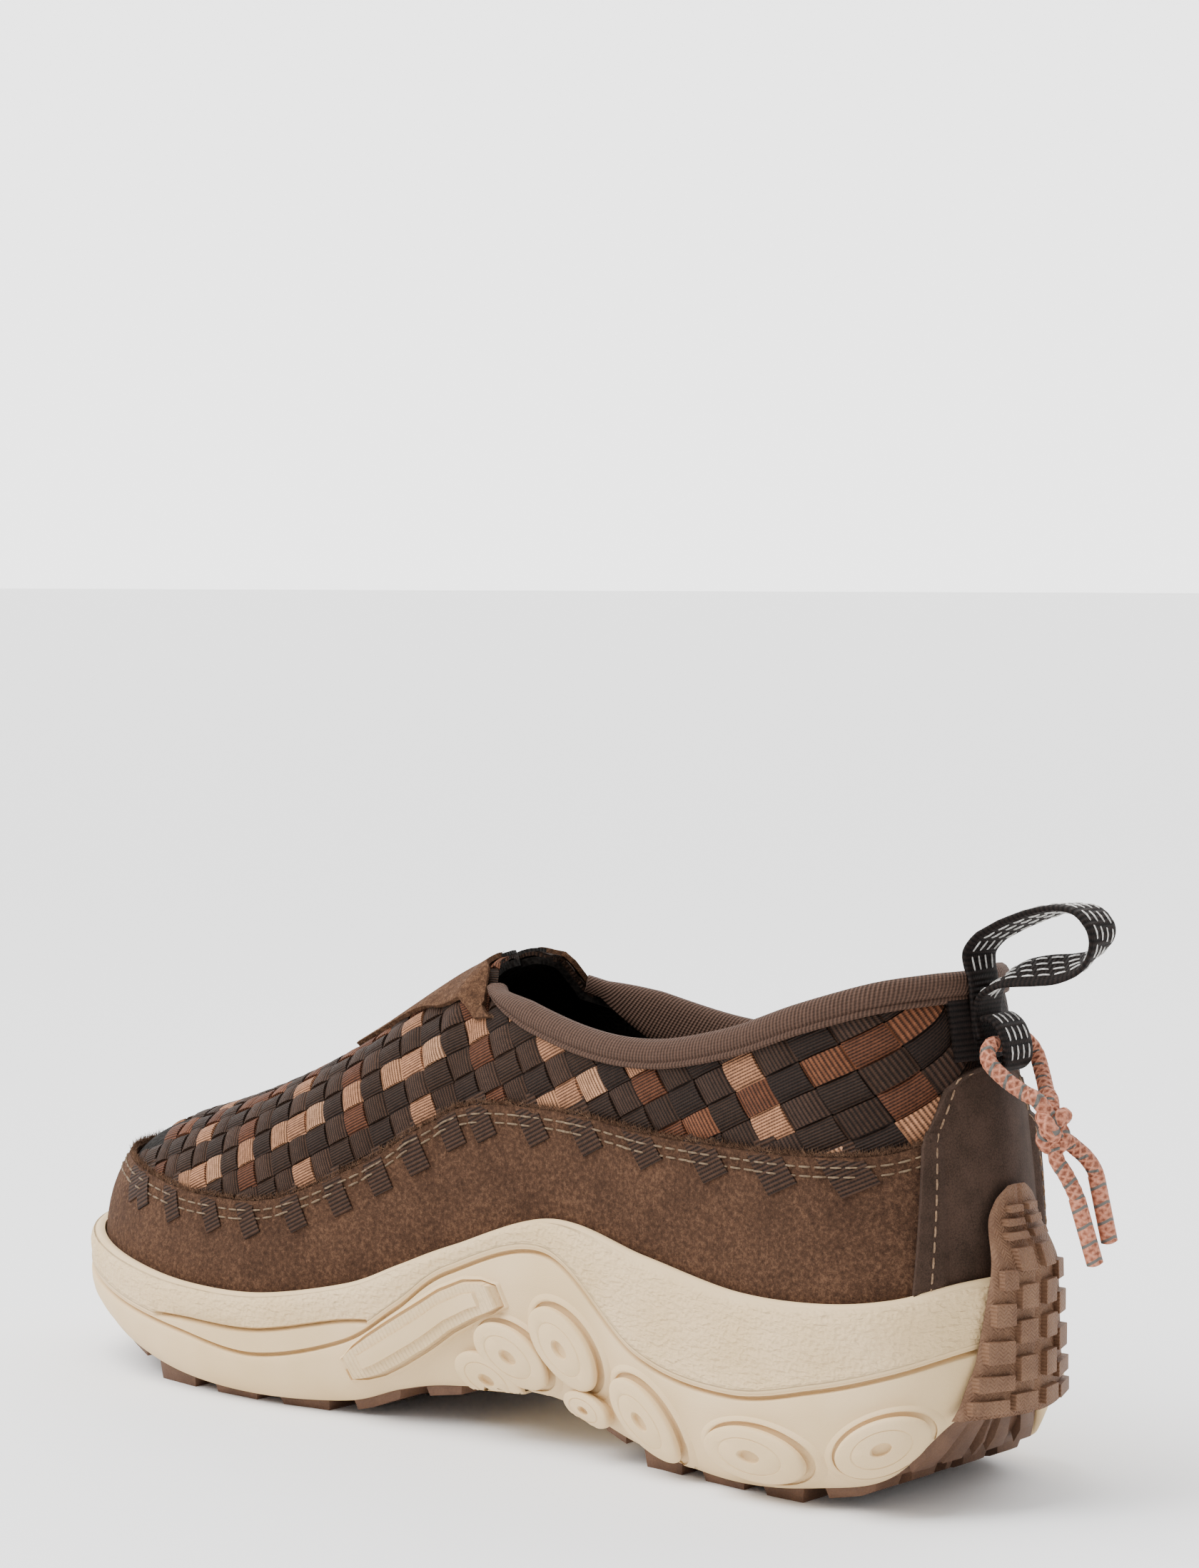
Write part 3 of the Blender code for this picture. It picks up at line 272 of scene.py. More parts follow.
def on_shell(u, level, lift):
    """Points of the upper's face at stations and levels, lifted off it."""
    u, level, lift = np.broadcast_arrays(np.asarray(u, float) % (2 * STATIONS), level, lift)
    out = unit(blended(SHELL_OUT, u / STEP, level))
    return blended(SHELL, u / STEP, level) + out * lift[..., None]


def sole_shift():
    """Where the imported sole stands: its heel back and its middle line."""
    low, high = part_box("midsole")
    along, across = outline(np.linspace(0, 2 * STATIONS, 3001))
    return ((low.x + high.x + along.max() + along.min()) / 2,
            (low.y + high.y + across.max() + across.min()) / 2)


SHIFT_ALONG, SHIFT_ACROSS = sole_shift()


def world(points):
    """From the shoe's own places to the frame's, and back again."""
    made = np.array(points, float)
    made[..., 0] = SHIFT_ALONG - made[..., 0]
    made[..., 1] = SHIFT_ACROSS - made[..., 1]
    return made


# Modelling helpers
def deselect():
    bpy.ops.object.select_all(action="DESELECT")


def choose(piece):
    deselect()
    piece.select_set(True)
    bpy.context.view_layer.objects.active = piece


def sheet(name, points, uv=None):
    """A grid primitive whose points take the given places, row by row."""
    rows, columns = points.shape[:2]
    deselect()
    bpy.ops.mesh.primitive_grid_add(x_subdivisions=columns - 1, y_subdivisions=rows - 1, size=1.0)
    piece = bpy.context.object
    piece.name = name
    mesh = piece.data
    mesh.name = name
    flat = np.empty(len(mesh.vertices) * 3, np.float32)
    mesh.vertices.foreach_get("co", flat)
    flat = flat.reshape(-1, 3)
    across = np.rint((flat[:, 0] + 0.5) * (columns - 1)).astype(int)
    down = np.rint((flat[:, 1] + 0.5) * (rows - 1)).astype(int)
    mesh.vertices.foreach_set("co", world(points)[down, across].astype(np.float32).ravel())
    if uv is not None:
        corners = np.empty(len(mesh.loops), np.int32)
        mesh.loops.foreach_get("vertex_index", corners)
        places = uv[down, across][corners].astype(np.float32)
        mesh.uv_layers[0].data.foreach_set("uv", places.ravel())
    mesh.update()
    return piece


def edit(piece, *steps):
    """Runs edit-mode operators on all of a piece."""
    choose(piece)
    bpy.ops.object.mode_set(mode="EDIT")
    bpy.ops.mesh.select_all(action="SELECT")
    for step in steps:
        step()
    bpy.ops.object.mode_set(mode="OBJECT")


def merge():
    bpy.ops.mesh.remove_doubles(threshold=WELD_GAP)


def recalculate():
    bpy.ops.mesh.normals_make_consistent(inside=False)


def weld(piece):
    edit(piece, merge)


def close_ends(piece):
    """Welds a tube or ring and fills what is left open."""
    weld(piece)
    choose(piece)
    bpy.ops.object.mode_set(mode="EDIT")
    bpy.ops.mesh.select_all(action="DESELECT")
    bpy.ops.mesh.select_mode(type="EDGE")
    bpy.ops.mesh.select_non_manifold()
    bpy.ops.mesh.edge_face_add()
    bpy.ops.mesh.select_mode(type="VERT")
    bpy.ops.mesh.select_all(action="SELECT")
    recalculate()
    bpy.ops.object.mode_set(mode="OBJECT")


def modify(piece, kind, **settings):
    """Adds a modifier with its settings and applies it."""
    choose(piece)
    made = piece.modifiers.new(kind.lower(), kind)
    for key, value in settings.items():
        setattr(made, key, value)
    bpy.ops.object.modifier_apply(modifier=made.name)


def wall(piece, thickness, offset=1):
    """Gives an open sheet its thickness, outwards by default."""
    modify(piece, "SOLIDIFY", thickness=thickness, offset=offset, use_even_offset=True)
    edit(piece, recalculate)


def face_out(piece):
    """Turns an open sheet so that its faces point away from the shoe's middle."""
    mesh = piece.data
    count = len(mesh.polygons)
    centres = np.empty(count * 3)
    normals = np.empty(count * 3)
    mesh.polygons.foreach_get("center", centres)
    mesh.polygons.foreach_get("normal", normals)
    away = centres.reshape(-1, 3) - world(SHOE_MIDDLE)
    if np.sum(away * normals.reshape(-1, 3)) < 0:
        edit(piece, bpy.ops.mesh.flip_normals)


def dress(piece, finish, nodes=(), angle=40.0):
    """Gives a finished piece its material, its body and the nodes it stands for."""
    piece.data.materials.clear()
    piece.data.materials.append(finish)
    choose(piece)
    bpy.ops.object.shade_smooth_by_angle(angle=math.radians(angle))
    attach(piece, "root")
    if nodes:
        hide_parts(*nodes)
    return piece


def stamped(name, faces, places, uv=None, tint=None):
    """Many copies of one small shape, each bent to its own place, as one piece."""
    count, size = places.shape[:2]
    faces = np.asarray(faces)
    corners = (faces[None] + (np.arange(count) * size)[:, None, None]).reshape(-1, faces.shape[1])
    mesh = bpy.data.meshes.new(name)
    mesh.from_pydata(world(places).reshape(-1, 3).tolist(), [], corners.tolist())
    if uv is not None:
        layer = mesh.uv_layers.new(name="Strip")
        spots = np.broadcast_to(uv, (count, size, 2)).reshape(-1, 2)[corners.ravel()]
        layer.data.foreach_set("uv", spots.astype(np.float32).ravel())
    if tint is not None:
        colours = mesh.attributes.new("Tint", "FLOAT_COLOR", "POINT")
        spots = np.repeat(tint, size, axis=0)
        colours.data.foreach_set("color", spots.astype(np.float32).ravel())
    mesh.update()
    piece = bpy.data.objects.new(name, mesh)
    bpy.context.scene.collection.objects.link(piece)
    return piece


def template(kind, *steps, **settings):
    """Points and quads of a primitive that is shaped once and then repeated."""
    deselect()
    getattr(bpy.ops.mesh, "primitive_" + kind + "_add")(**settings)
    piece = bpy.context.object
    if steps:
        edit(piece, *steps)
    mesh = piece.data
    points = np.array([v.co[:] for v in mesh.vertices])
    faces = [tuple(p.vertices) for p in mesh.polygons]
    bpy.data.objects.remove(piece, do_unlink=True)
    bpy.data.meshes.remove(mesh)
    return points, faces


def outward_along(path, out_hint):
    """Outward ways at the points of a path, square to it."""
    way = unit(np.gradient(path, axis=0))
    return unit(out_hint - np.sum(out_hint * way, 1)[:, None] * way)


# share along a stitch, share of its radius
STITCH_RINGS = ((-1.0, 0.25), (-0.86, 0.85), (0.0, 1.0), (0.86, 0.85), (1.0, 0.25))


def stitch_shape():
    """One stitch with six sides: shares along, out and aside, and its faces."""
    turns = [math.tau * k / 6 for k in range(6)]
    shape = np.array([(share, size * math.cos(turn), size * math.sin(turn))
                      for share, size in STITCH_RINGS for turn in turns])
    faces = [(6 * i + k, 6 * i + (k + 1) % 6, 6 * i + 6 + (k + 1) % 6, 6 * i + 6 + k)
             for i in range(len(STITCH_RINGS) - 1) for k in range(6)]
    return shape, faces + [(0, 5, 4, 3), (0, 3, 2, 1), (24, 25, 26, 27), (24, 27, 28, 29)]


def stitches(name, path, out_hint, length, gap, radius, finish):
    """A row of thread: short bowed capsules one after another on a path."""
    shape, faces = stitch_shape()
    way = walked(path)
    starts = np.arange(0.5 * gap, way[-1] - length, length + gap)
    spots = starts[:, None] + (shape[None, :, 0] + 1) * 0.5 * length
    centre = placed_along(spots, way, path)
    lift = placed_along(spots, way, outward_along(path, out_hint))
    side = unit(np.cross(placed_along(spots + 1e-4, way, path) - centre, lift))
    bow = radius * (0.55 - 0.8 * shape[None, :, 0, None] ** 4)
    places = centre + lift * (shape[None, :, 1, None] * radius + bow)
    places = places + side * shape[None, :, 2, None] * radius
    piece = stamped(name, faces, places)
    edit(piece, recalculate)
    return dress(piece, finish, angle=60)


def hairs(name, roots, ways, seed, finish, long):
    """Loose suede fibres along a cut edge: thin closed spikes."""
    rng = np.random.default_rng(seed)
    ways = unit(ways + rng.normal(0, 0.45, ways.shape))
    aside = unit(np.cross(ways, rng.normal(0, 1, ways.shape)))
    other = np.cross(ways, aside)
    reach = rng.uniform(long[0], long[1], (len(roots), 1)) * MM
    base = 0.10 * MM
    roots = roots + rng.normal(0, 0.22 * MM, roots.shape)
    corners = [roots + aside * base, roots - aside * base * 0.5 + other * base * 0.87,
               roots - aside * base * 0.5 - other * base * 0.87, roots + ways * reach]
    faces = [(0, 1, 2), (0, 3, 1), (1, 3, 2), (2, 3, 0)]
    piece = stamped(name, faces, np.stack(corners, 1))
    edit(piece, recalculate)
    return dress(piece, finish)


# Materials
def linear(colour):
    """sRGB hex to the linear values that shaders take."""
    shares = [int(colour[i:i + 2], 16) / 255 for i in (1, 3, 5)]
    values = [s / 12.92 if s <= 0.04045 else ((s + 0.055) / 1.055) ** 2.4 for s in shares]
    return (*values, 1.0)


def node(tree, kind, inputs=(), stops=(), **settings):
    """Adds a node with its settings. Its inputs, a run or a mapping, are values,
    sockets, or nodes whose first output is linked. Stops are a ramp's colours."""
    made = tree.nodes.new("ShaderNode" + kind)
    for key, value in settings.items():
        setattr(made, key, value)
    for key, value in inputs.items() if isinstance(inputs, dict) else enumerate(inputs):
        if isinstance(value, bpy.types.Node):
            value = value.outputs[0]
        if isinstance(value, bpy.types.NodeSocket):
            tree.links.new(value, made.inputs[key])
        else:
            made.inputs[key].default_value = value
    if stops:
        elements = made.color_ramp.elements
        while len(elements) < len(stops):
            elements.new(0.5)
        for element, (place, colour) in zip(elements, stops):
            element.position = place
            element.color = linear(colour)
    return made


def finish_of(name, roughness, sheen=0.0, sheen_tint="#FFFFFF", ior=1.5, specular=0.5):
    """A new material, its nodes and its shader with the values that are even all over."""
    made = bpy.data.materials.new(name)
    made.use_nodes = True
    tree = made.node_tree
    shader = tree.nodes["Principled BSDF"]
    for key, value in (("Roughness", roughness), ("Metallic", 0.0), ("IOR", ior),
                       ("Specular IOR Level", specular), ("Sheen Weight", sheen),
                       ("Sheen Roughness", 0.45), ("Sheen Tint", linear(sheen_tint))):
        shader.inputs[key].default_value = value
    return made, tree, shader


def covered(tree, shader, colour, height, depth):
    """Gives a material's shader its colour and the relief of its surface."""
    tree.links.new(colour, shader.inputs["Base Color"])
    relief = node(tree, "Bump", {"Height": height, "Distance": depth, "Strength": 1.0})
    tree.links.new(relief.outputs[0], shader.inputs["Normal"])


def webbing(name, colour=None, rib=0.85, thread=0.62):
    """Polyester webbing, woven: crosswise ribs broken by lengthwise threads.

    The piece's own map holds millimetres along and across the strip. Ribs are
    0.85 mm apart, as on narrow-loom webbing."""
    made, tree, shader = finish_of(name, 0.70, sheen=0.04, sheen_tint="#8A6A55", specular=0.14)
    place = node(tree, "TexCoord").outputs
    along, across = node(tree, "SeparateXYZ", (place["UV"],)).outputs[:2]
    waves = []
    for way, turns in ((along, math.tau / rib), (across, math.tau / thread),
                       (along, math.pi / rib)):
        turned = node(tree, "Math", (way, turns), operation="MULTIPLY")
        waves.append(node(tree, "Math", (turned,), operation="SINE"))
    weave = node(tree, "Math", waves[1:], operation="MULTIPLY")
    height = node(tree, "Math", (weave, 0.35, waves[0]), operation="MULTIPLY_ADD")
    height = node(tree, "Math", (height, 0.37, 0.5), operation="MULTIPLY_ADD").outputs[0]
    base = linear(colour) if colour else node(tree, "Attribute", attribute_name="Tint")
    mottled = node(tree, "TexNoise", {"Vector": place["Object"], "Scale": 900.0, "Detail": 3.0})
    # painted shade: the weave's low parts, by their height, darken the strip's colour
    shade = node(tree, "ValToRGB", (height,), ((0.1, "#6E6E6E"), (0.75, "#FFFFFF")))
    light = node(tree, "ValToRGB", (mottled,), ((0.35, "#C9C9C9"), (0.65, "#FFFFFF")))
    for factor, darker in ((1.0, shade), (0.8, light)):
        base = node(tree, "Mix", {0: factor, 6: base, 7: darker},
                    data_type="RGBA", blend_type="MULTIPLY").outputs[2]
    covered(tree, shader, base, height, 0.00028)
    return made


def suede(name, deep, middle, pale, grain=0.0008):
    """Split leather, brushed: a short nap that breaks into light and dark flecks
    about 1 mm wide, with finer fibres between them."""
    made, tree, shader = finish_of(name, 0.95, sheen=0.15, sheen_tint=pale, specular=0.12)
    spot = node(tree, "TexCoord").outputs["Object"]
    broad, flecks, fibres = (
        node(tree, "TexNoise", {"Vector": spot, "Scale": scale / grain, "Detail": detail,
                                "Roughness": roughness})
        for scale, detail, roughness in ((0.9 / 14, 3.0, 0.5), (0.75, 4.0, 0.7), (2.6, 3.0, 0.75)))
    height = node(tree, "Math", (fibres, 0.6, flecks), operation="MULTIPLY_ADD")
    tone = node(tree, "Math", (height, 0.60), operation="MULTIPLY")
    tone = node(tree, "Math", (broad, 0.16, tone), operation="MULTIPLY_ADD")
    colour = node(tree, "ValToRGB", (tone,), ((0.42, deep), (0.56, middle), (0.70, pale)))
    covered(tree, shader, colour.outputs[0], height.outputs[0], 0.0009)
    return made


def nubuck(name, deep, pale):
    """Buffed grain leather: a very short, even nap with faint creases."""
    made, tree, shader = finish_of(name, 0.88, sheen=0.12, sheen_tint=pale, specular=0.2)
    spot = node(tree, "TexCoord").outputs["Object"]
    fine, creases = (node(tree, "TexNoise", {"Vector": spot, "Scale": scale, "Detail": 3.0})
                     for scale in (2600.0, 160.0))
    tone = node(tree, "Math", (creases, 0.4), operation="MULTIPLY")
    tone = node(tree, "Math", (fine, 0.6, tone), operation="MULTIPLY_ADD")
    colour = node(tree, "ValToRGB", (tone,), ((0.36, deep), (0.64, pale)))
    covered(tree, shader, colour.outputs[0], tone.outputs[0], 0.00022)
    return made


def foam(name, hatched=False):
    """Moulded EVA: closed cells with a satin skin, grained like leather where the
    mould was etched (the Grain attribute) and nearly smooth elsewhere. Hatched is
    the fine slanted ribbing of the side plate, 1.3 mm apart."""
    made, tree, shader = finish_of(name, 0.62, specular=0.3)
    spot = node(tree, "TexCoord").outputs["Object"]
    grain = node(tree, "Attribute", attribute_name="Grain").outputs["Fac"]
    cells = node(tree, "TexVoronoi", {"Vector": spot, "Scale": 900.0, "Smoothness": 0.6},
                 feature="SMOOTH_F1")
    drawn = node(tree, "Mapping", {"Vector": spot, "Scale": (330.0, 330.0, 900.0)})
    creases = node(tree, "TexNoise",
                   {"Vector": drawn, "Scale": 1.0, "Detail": 3.0, "Distortion": 0.6})
    pores = node(tree, "TexNoise", {"Vector": spot, "Scale": 3200.0, "Detail": 2.0})
    height = node(tree, "Math", (cells, 0.5, creases), operation="MULTIPLY_ADD")
    height = node(tree, "Math", (height, grain), operation="MULTIPLY")
    height = node(tree, "Math", (pores, 0.10, height), operation="MULTIPLY_ADD")
    broad = node(tree, "TexNoise", {"Vector": spot, "Scale": 40.0, "Detail": 2.0})
    colour = node(tree, "ValToRGB", (broad,), ((0.35, "#D5B88A"), (0.65, "#DCC095")))
    if hatched:
        parts = node(tree, "SeparateXYZ", (spot,)).outputs
        slant = node(tree, "Math", (parts[2], 0.55, parts[0]), operation="MULTIPLY_ADD")
        slant = node(tree, "Math", (slant, math.tau / 0.0013), operation="MULTIPLY")
        slant = node(tree, "Math", (slant,), operation="SINE")
        height = node(tree, "Math", (slant, 0.12, height), operation="MULTIPLY_ADD")
    covered(tree, shader, colour.outputs[0], height.outputs[0], 0.0009)
    return made


def rubber(name, deep, pale, zigzag=False):
    """Moulded rubber: matt, with a fine herringbone from the mould where zigzag is
    set. The rows are 0.9 mm apart."""
    made, tree, shader = finish_of(name, 0.66, ior=1.52, specular=0.35)
    spot = node(tree, "TexCoord").outputs["Object"]
    broad = node(tree, "TexNoise", {"Vector": spot, "Scale": 120.0, "Detail": 3.0})
    fine = node(tree, "TexNoise", {"Vector": spot, "Scale": 2200.0, "Detail": 2.0})
    tone = node(tree, "Math", (broad, 0.6), operation="MULTIPLY")
    tone = node(tree, "Math", (fine, 0.4, tone), operation="MULTIPLY_ADD")
    colour = node(tree, "ValToRGB", (tone,), ((0.36, deep), (0.64, pale)))
    height = node(tree, "Math", (fine, 0.25), operation="MULTIPLY")
    if zigzag:
        parts = node(tree, "SeparateXYZ", (spot,)).outputs
        rows = node(tree, "Math", (parts[1], 0.1), operation="ADD")
        rows = node(tree, "Math", (rows, 0.0011), operation="PINGPONG")
        rows = node(tree, "Math", (rows, parts[2]), operation="ADD")
        rows = node(tree, "Math", (rows, math.tau / 0.0009), operation="MULTIPLY")
        rows = node(tree, "Math", (rows,), operation="SINE")
        height = node(tree, "Math", (rows, 0.4, height), operation="MULTIPLY_ADD")
    covered(tree, shader, colour.outputs[0], height.outputs[0], 0.0002)
    return made


def ribbed(name, deep, pale, rib):
    """Knitted or elastic tape with ribs across its length, from the piece's map."""
    made, tree, shader = finish_of(name, 0.8, sheen=0.08, sheen_tint=pale, specular=0.2)
    place = node(tree, "TexCoord").outputs
    along, across = node(tree, "SeparateXYZ", (place["UV"],)).outputs[:2]
    ribs = node(tree, "Math", (across, 0.35, along), operation="MULTIPLY_ADD")
    ribs = node(tree, "Math", (ribs, math.tau / rib), operation="MULTIPLY")
    ribs = node(tree, "Math", (ribs,), operation="SINE")
    loops = node(tree, "Math", (across, math.tau / 0.7), operation="MULTIPLY")
    loops = node(tree, "Math", (loops,), operation="SINE")
    height = node(tree, "Math", (loops, 0.3, ribs), operation="MULTIPLY_ADD")
    height = node(tree, "Math", (height, 0.38, 0.5), operation="MULTIPLY_ADD")
    mottled = node(tree, "TexNoise", {"Vector": place["Object"], "Scale": 1400.0, "Detail": 2.0})
    # painted shade: the colour darkens with the ribs' height, low parts darker, over a random
    # mottle
    tone = node(tree, "Math", (height, 0.6), operation="MULTIPLY")
    tone = node(tree, "Math", (mottled, 0.45, tone), operation="MULTIPLY_ADD")
    colour = node(tree, "ValToRGB", (tone,), ((0.25, deep), (0.8, pale)))
    covered(tree, shader, colour.outputs[0], height.outputs[0], 0.0003)
    return made


def mesh_lining(name):
    """Knitted polyester lining: a dark open mesh of loops about 1.1 mm apart."""
    made, tree, shader = finish_of(name, 0.92, specular=0.12)
    spot = node(tree, "TexCoord").outputs["Object"]
    cells = node(tree, "TexVoronoi", {"Vector": spot, "Scale": 900.0})
    colour = node(tree, "ValToRGB", (cells,), ((0.1, "#0C0A09"), (0.7, "#1D1916")))
    covered(tree, shader, colour.outputs[0], cells.outputs[0], 0.0004)
    return made


BRAID_RISE = 2.1
BRAID_STRANDS = 4


def braid(name, smooth=False):
    """Braided polyester cord: two sets of strands that cross at a slant, with a grey
    reflective fleck in a chevron every 4.2 mm. The map holds turns and millimetres."""
    made, tree, shader = finish_of(name, 0.62 if smooth else 0.7, specular=0.3)
    place = node(tree, "TexCoord").outputs
    turn, along = node(tree, "SeparateXYZ", (place["UV"],)).outputs[:2]
    strands = []
    for way in (1, -1):
        strand = node(tree, "Math", (turn, way * math.tau * BRAID_STRANDS), operation="MULTIPLY")
        strand = node(tree, "Math", (along, math.tau / BRAID_RISE, strand),
                      operation="MULTIPLY_ADD")
        strands.append(node(tree, "Math", (strand,), operation="SINE"))
    height = node(tree, "Math", strands, operation="MAXIMUM")
    wide = node(tree, "Math", (turn, 0.5), operation="PINGPONG")
    share = node(tree, "Math", (wide, 3.4, along), operation="MULTIPLY_ADD")
    share = node(tree, "Math", (share, 4.2), operation="DIVIDE")
    share = node(tree, "Math", (share,), operation="FRACT")
    fleck = node(tree, "Math", (share, 0.17), operation="LESS_THAN")
    beside = node(tree, "Math", (wide, 0.14), operation="GREATER_THAN")
    fleck = node(tree, "Math", (fleck, beside), operation="MULTIPLY")
    mottled = node(tree, "TexNoise", {"Vector": place["Object"], "Scale": 1500.0, "Detail": 2.0})
    # partly painted shade: the low places between strands are a little darker, over a random mottle
    tone = node(tree, "Math", (height, 0.16), operation="MULTIPLY")
    tone = node(tree, "Math", (mottled, 0.7, tone), operation="MULTIPLY_ADD")
    body = node(tree, "ValToRGB", (tone,),
                ((0.18, "#7C4633"), (0.42, "#B06F55"), (0.62, "#C4866C")))
    colour = node(tree, "Mix", {0: fleck, 6: body, 7: linear("#5E5C57")}, data_type="RGBA")
    covered(tree, shader, colour.outputs[2], height.outputs[0], 0.00008 if smooth else 0.0003)
    return made


def plain(name, colour, pale, roughness):
    """Twisted thread and other small trim: one colour with a fine mottle."""
    made, tree, shader = finish_of(name, roughness, specular=0.25)
    spot = node(tree, "TexCoord").outputs["Object"]
    mottled = node(tree, "TexNoise", {"Vector": spot, "Scale": 1500.0, "Detail": 2.0})
    tone = node(tree, "ValToRGB", (mottled,), ((0.35, colour), (0.7, pale)))
    covered(tree, shader, tone.outputs[0], mottled.outputs[0], 0.0001)
    return made


LOOKS = {}


def look(name):
    """The shoe's finishes, each made when first needed."""
    makers = {
        "webbing strips": lambda: webbing("polyester_webbing_strips"),
        "webbing tabs": lambda: webbing("dark_webbing_tabs", "#432E22"),
        "loop webbing": lambda: webbing("black_brown_loop_webbing", "#1F1714", rib=1.3),
        "rand suede": lambda: suede("brown_split_suede", "#34231A", "#4E3729", "#70523E"),
        "strip suede": lambda: suede("tan_split_suede", "#3A281D", "#573D2C", "#7E5D45"),
        "fibres": lambda: suede("loose_suede_fibres", "#4A3526", "#6E5240", "#94765C"),
        "nubuck": lambda: nubuck("dark_brown_nubuck", "#2B1F17", "#44332A"),
        "foam": lambda: foam("cream_moulded_eva"),
        "plate": lambda: foam("hatched_moulded_eva", hatched=True),
        "rubber": lambda: rubber("brown_tread_rubber", "#523A2B", "#6B4E3B"),
        "wrap rubber": lambda: rubber("brown_wrap_rubber", "#61432F", "#7C5C44", zigzag=True),
        "binding": lambda: ribbed("brown_ribbed_binding", "#32231B", "#584135", 1.0),
        "gore": lambda: ribbed("black_elastic_gore", "#0E0C0B", "#2A2522", 0.9),
        "lining": lambda: mesh_lining("black_mesh_lining"),
        "cord": lambda: braid("braided_tan_cord"),
        "tips": lambda: braid("shrunk_cord_tips", smooth=True),
        "thread": lambda: plain("tan_thread", "#5A4939", "#79664F", 0.7),
        "dark thread": lambda: plain("brown_thread", "#6A5340", "#94795F", 0.7),
        "bright thread": lambda: plain("reflective_thread", "#A8A49F", "#E4E2DE", 0.4),
    }
    if name not in LOOKS:
        LOOKS[name] = makers[name]()
    return LOOKS[name]


# Weave: strips are numbered lengthwise (crossing) and crosswise (row)
RIDGE_SLOPE = math.radians(23.0)
FOLD_POINT = (0.100, 0.080)
# the strips bend round the heel up to this station
HEEL_BEND = 2.5


def strip_numbers(grid):
    """Millimetres along and round the strips at every point of one side of the upper,
    in the order heel to toe, for a side turned so that it is the inner one."""
    along = grid[..., 0] * 1000
    across = grid[..., 1] * 1000
    up = grid[..., 2] * 1000
    folded = along.copy()
    for i in range(int(HEEL_BEND / STEP) - 1, -1, -1):
        folded[i] = folded[i + 1] - np.hypot(along[i + 1] - along[i], across[i + 1] - across[i])
    c, s = math.cos(RIDGE_SLOPE), math.sin(RIDGE_SLOPE)
    ahead = 1000 * FOLD_POINT[0] - folded
    rise = up - 1000 * FOLD_POINT[1]
    length = ahead * c + rise * s
    height = rise * c - ahead * s
    cross = np.cross(np.gradient(grid, axis=1), np.gradient(grid, axis=0))
    cross = unit(cross, 1e-9)
    ridge = np.array([-c, 0.0, s])
    fall = np.cross(cross, unit(ridge - (cross @ ridge)[..., None] * cross, 1e-9))
    step = np.sum(np.diff(grid, axis=1) * 0.5 * (fall[:, 1:] + fall[:, :-1]), -1) * 1000
    if np.median(step[100:200, 10:30]) > 0:
        step = -step
    girth = np.zeros(grid.shape[:2])
    girth[:, EDGE] = -height[:, EDGE]
    for j in range(EDGE, grid.shape[1] - 1):
        girth[:, j + 1] = girth[:, j] + step[:, j]
    for j in range(EDGE, 0, -1):
        girth[:, j - 1] = girth[:, j] - step[:, j - 1]
    return length, girth


def numbered(length, girth):
    """From millimetres along and round to strip numbers, as counted on the inner side."""
    crossing = -0.000198 * length ** 2 + 0.1175 * length - 0.0258 * girth + 20.108
    row = 0.1387 * girth + 0.00989 * length - 0.0000214 * length ** 2 + 5.896
    return crossing, row


class Field:
    """A grid of points with two numbers at each, searched by those numbers."""

    def __init__(self, points, first, second):
        self.points = points
        self.out = face_normals(points)
        self.first = first
        self.second = second
        self.slopes = (np.gradient(first, axis=0), np.gradient(first, axis=1),
                       np.gradient(second, axis=0), np.gradient(second, axis=1))

    def find(self, first, second, i, j):
        """Fractional grid places where the two numbers are met, from a first guess."""
        i, j = np.array(i, float), np.array(j, float)
        for _ in range(12):
            a = first - blended(self.first, i, j)
            b = second - blended(self.second, i, j)
            p, q, r, s = (blended(grid, i, j) for grid in self.slopes)
            det = p * s - q * r
            det = np.where(np.abs(det) < 1e-9, 1e-9, det)
            i = np.clip(i + np.clip((s * a - q * b) / det, -6, 6), 0, self.points.shape[0] - 1.01)
            j = np.clip(j + np.clip((p * b - r * a) / det, -4, 4), 0, self.points.shape[1] - 1.01)
        return i, j

    def nearest(self, first, second):
        gap = (self.first - first) ** 2 + (self.second - second) ** 2
        return np.unravel_index(int(np.argmin(gap)), gap.shape)

    def lifted(self, i, j, lift):
        return blended(self.points, i, j) + unit(blended(self.out, i, j)) * lift[..., None]


VAMP_START = 7.5


def weave_fields():
    """Strip numbers on the inner side, on the outer side, and over the closed vamp."""
    half = len(SHELL) // 2
    near = SHELL[:half + 1]
    far = SHELL[half:][::-1]
    turned = far * np.array([1.0, -1.0, 1.0])
    length, girth = strip_numbers(near)
    far_length, far_girth = strip_numbers(turned)
    closed = int(CLOSED_FROM / STEP)
    ridge = 0.5 * (girth[:, TOP] + far_girth[:, TOP])
    ridge[:closed] = ridge[closed]
    far_girth = 2 * ridge[:, None] - far_girth
    near_numbers = numbered(length, girth)
    far_numbers = numbered(far_length, far_girth)
    start = int(VAMP_START / STEP)
    vamp = []
    for a, b in ((near, far), (near_numbers[0], far_numbers[0]), (near_numbers[1], far_numbers[1])):
        whole = np.concatenate([a[start:], b[start:, TOP - 1::-1]], axis=1)
        past = whole[-2:-32:-1, ::-1]
        vamp.append(np.concatenate([whole, past], axis=0))
    return {
        "inner": (Field(near, *near_numbers), 0, closed),
        "outer": (Field(far, *far_numbers), 0, closed),
        "vamp": (Field(*vamp), closed - start, half - start + 1),
    }


FIELDS = weave_fields()
DARK_TINTS = ("#402C20", "#38261B", "#473226", "#322219")
LIGHT_TINTS = ("#B98562", "#B07C5B", "#C3916E")
BROWN_TINTS = ("#6E432C", "#633B27", "#784A32")


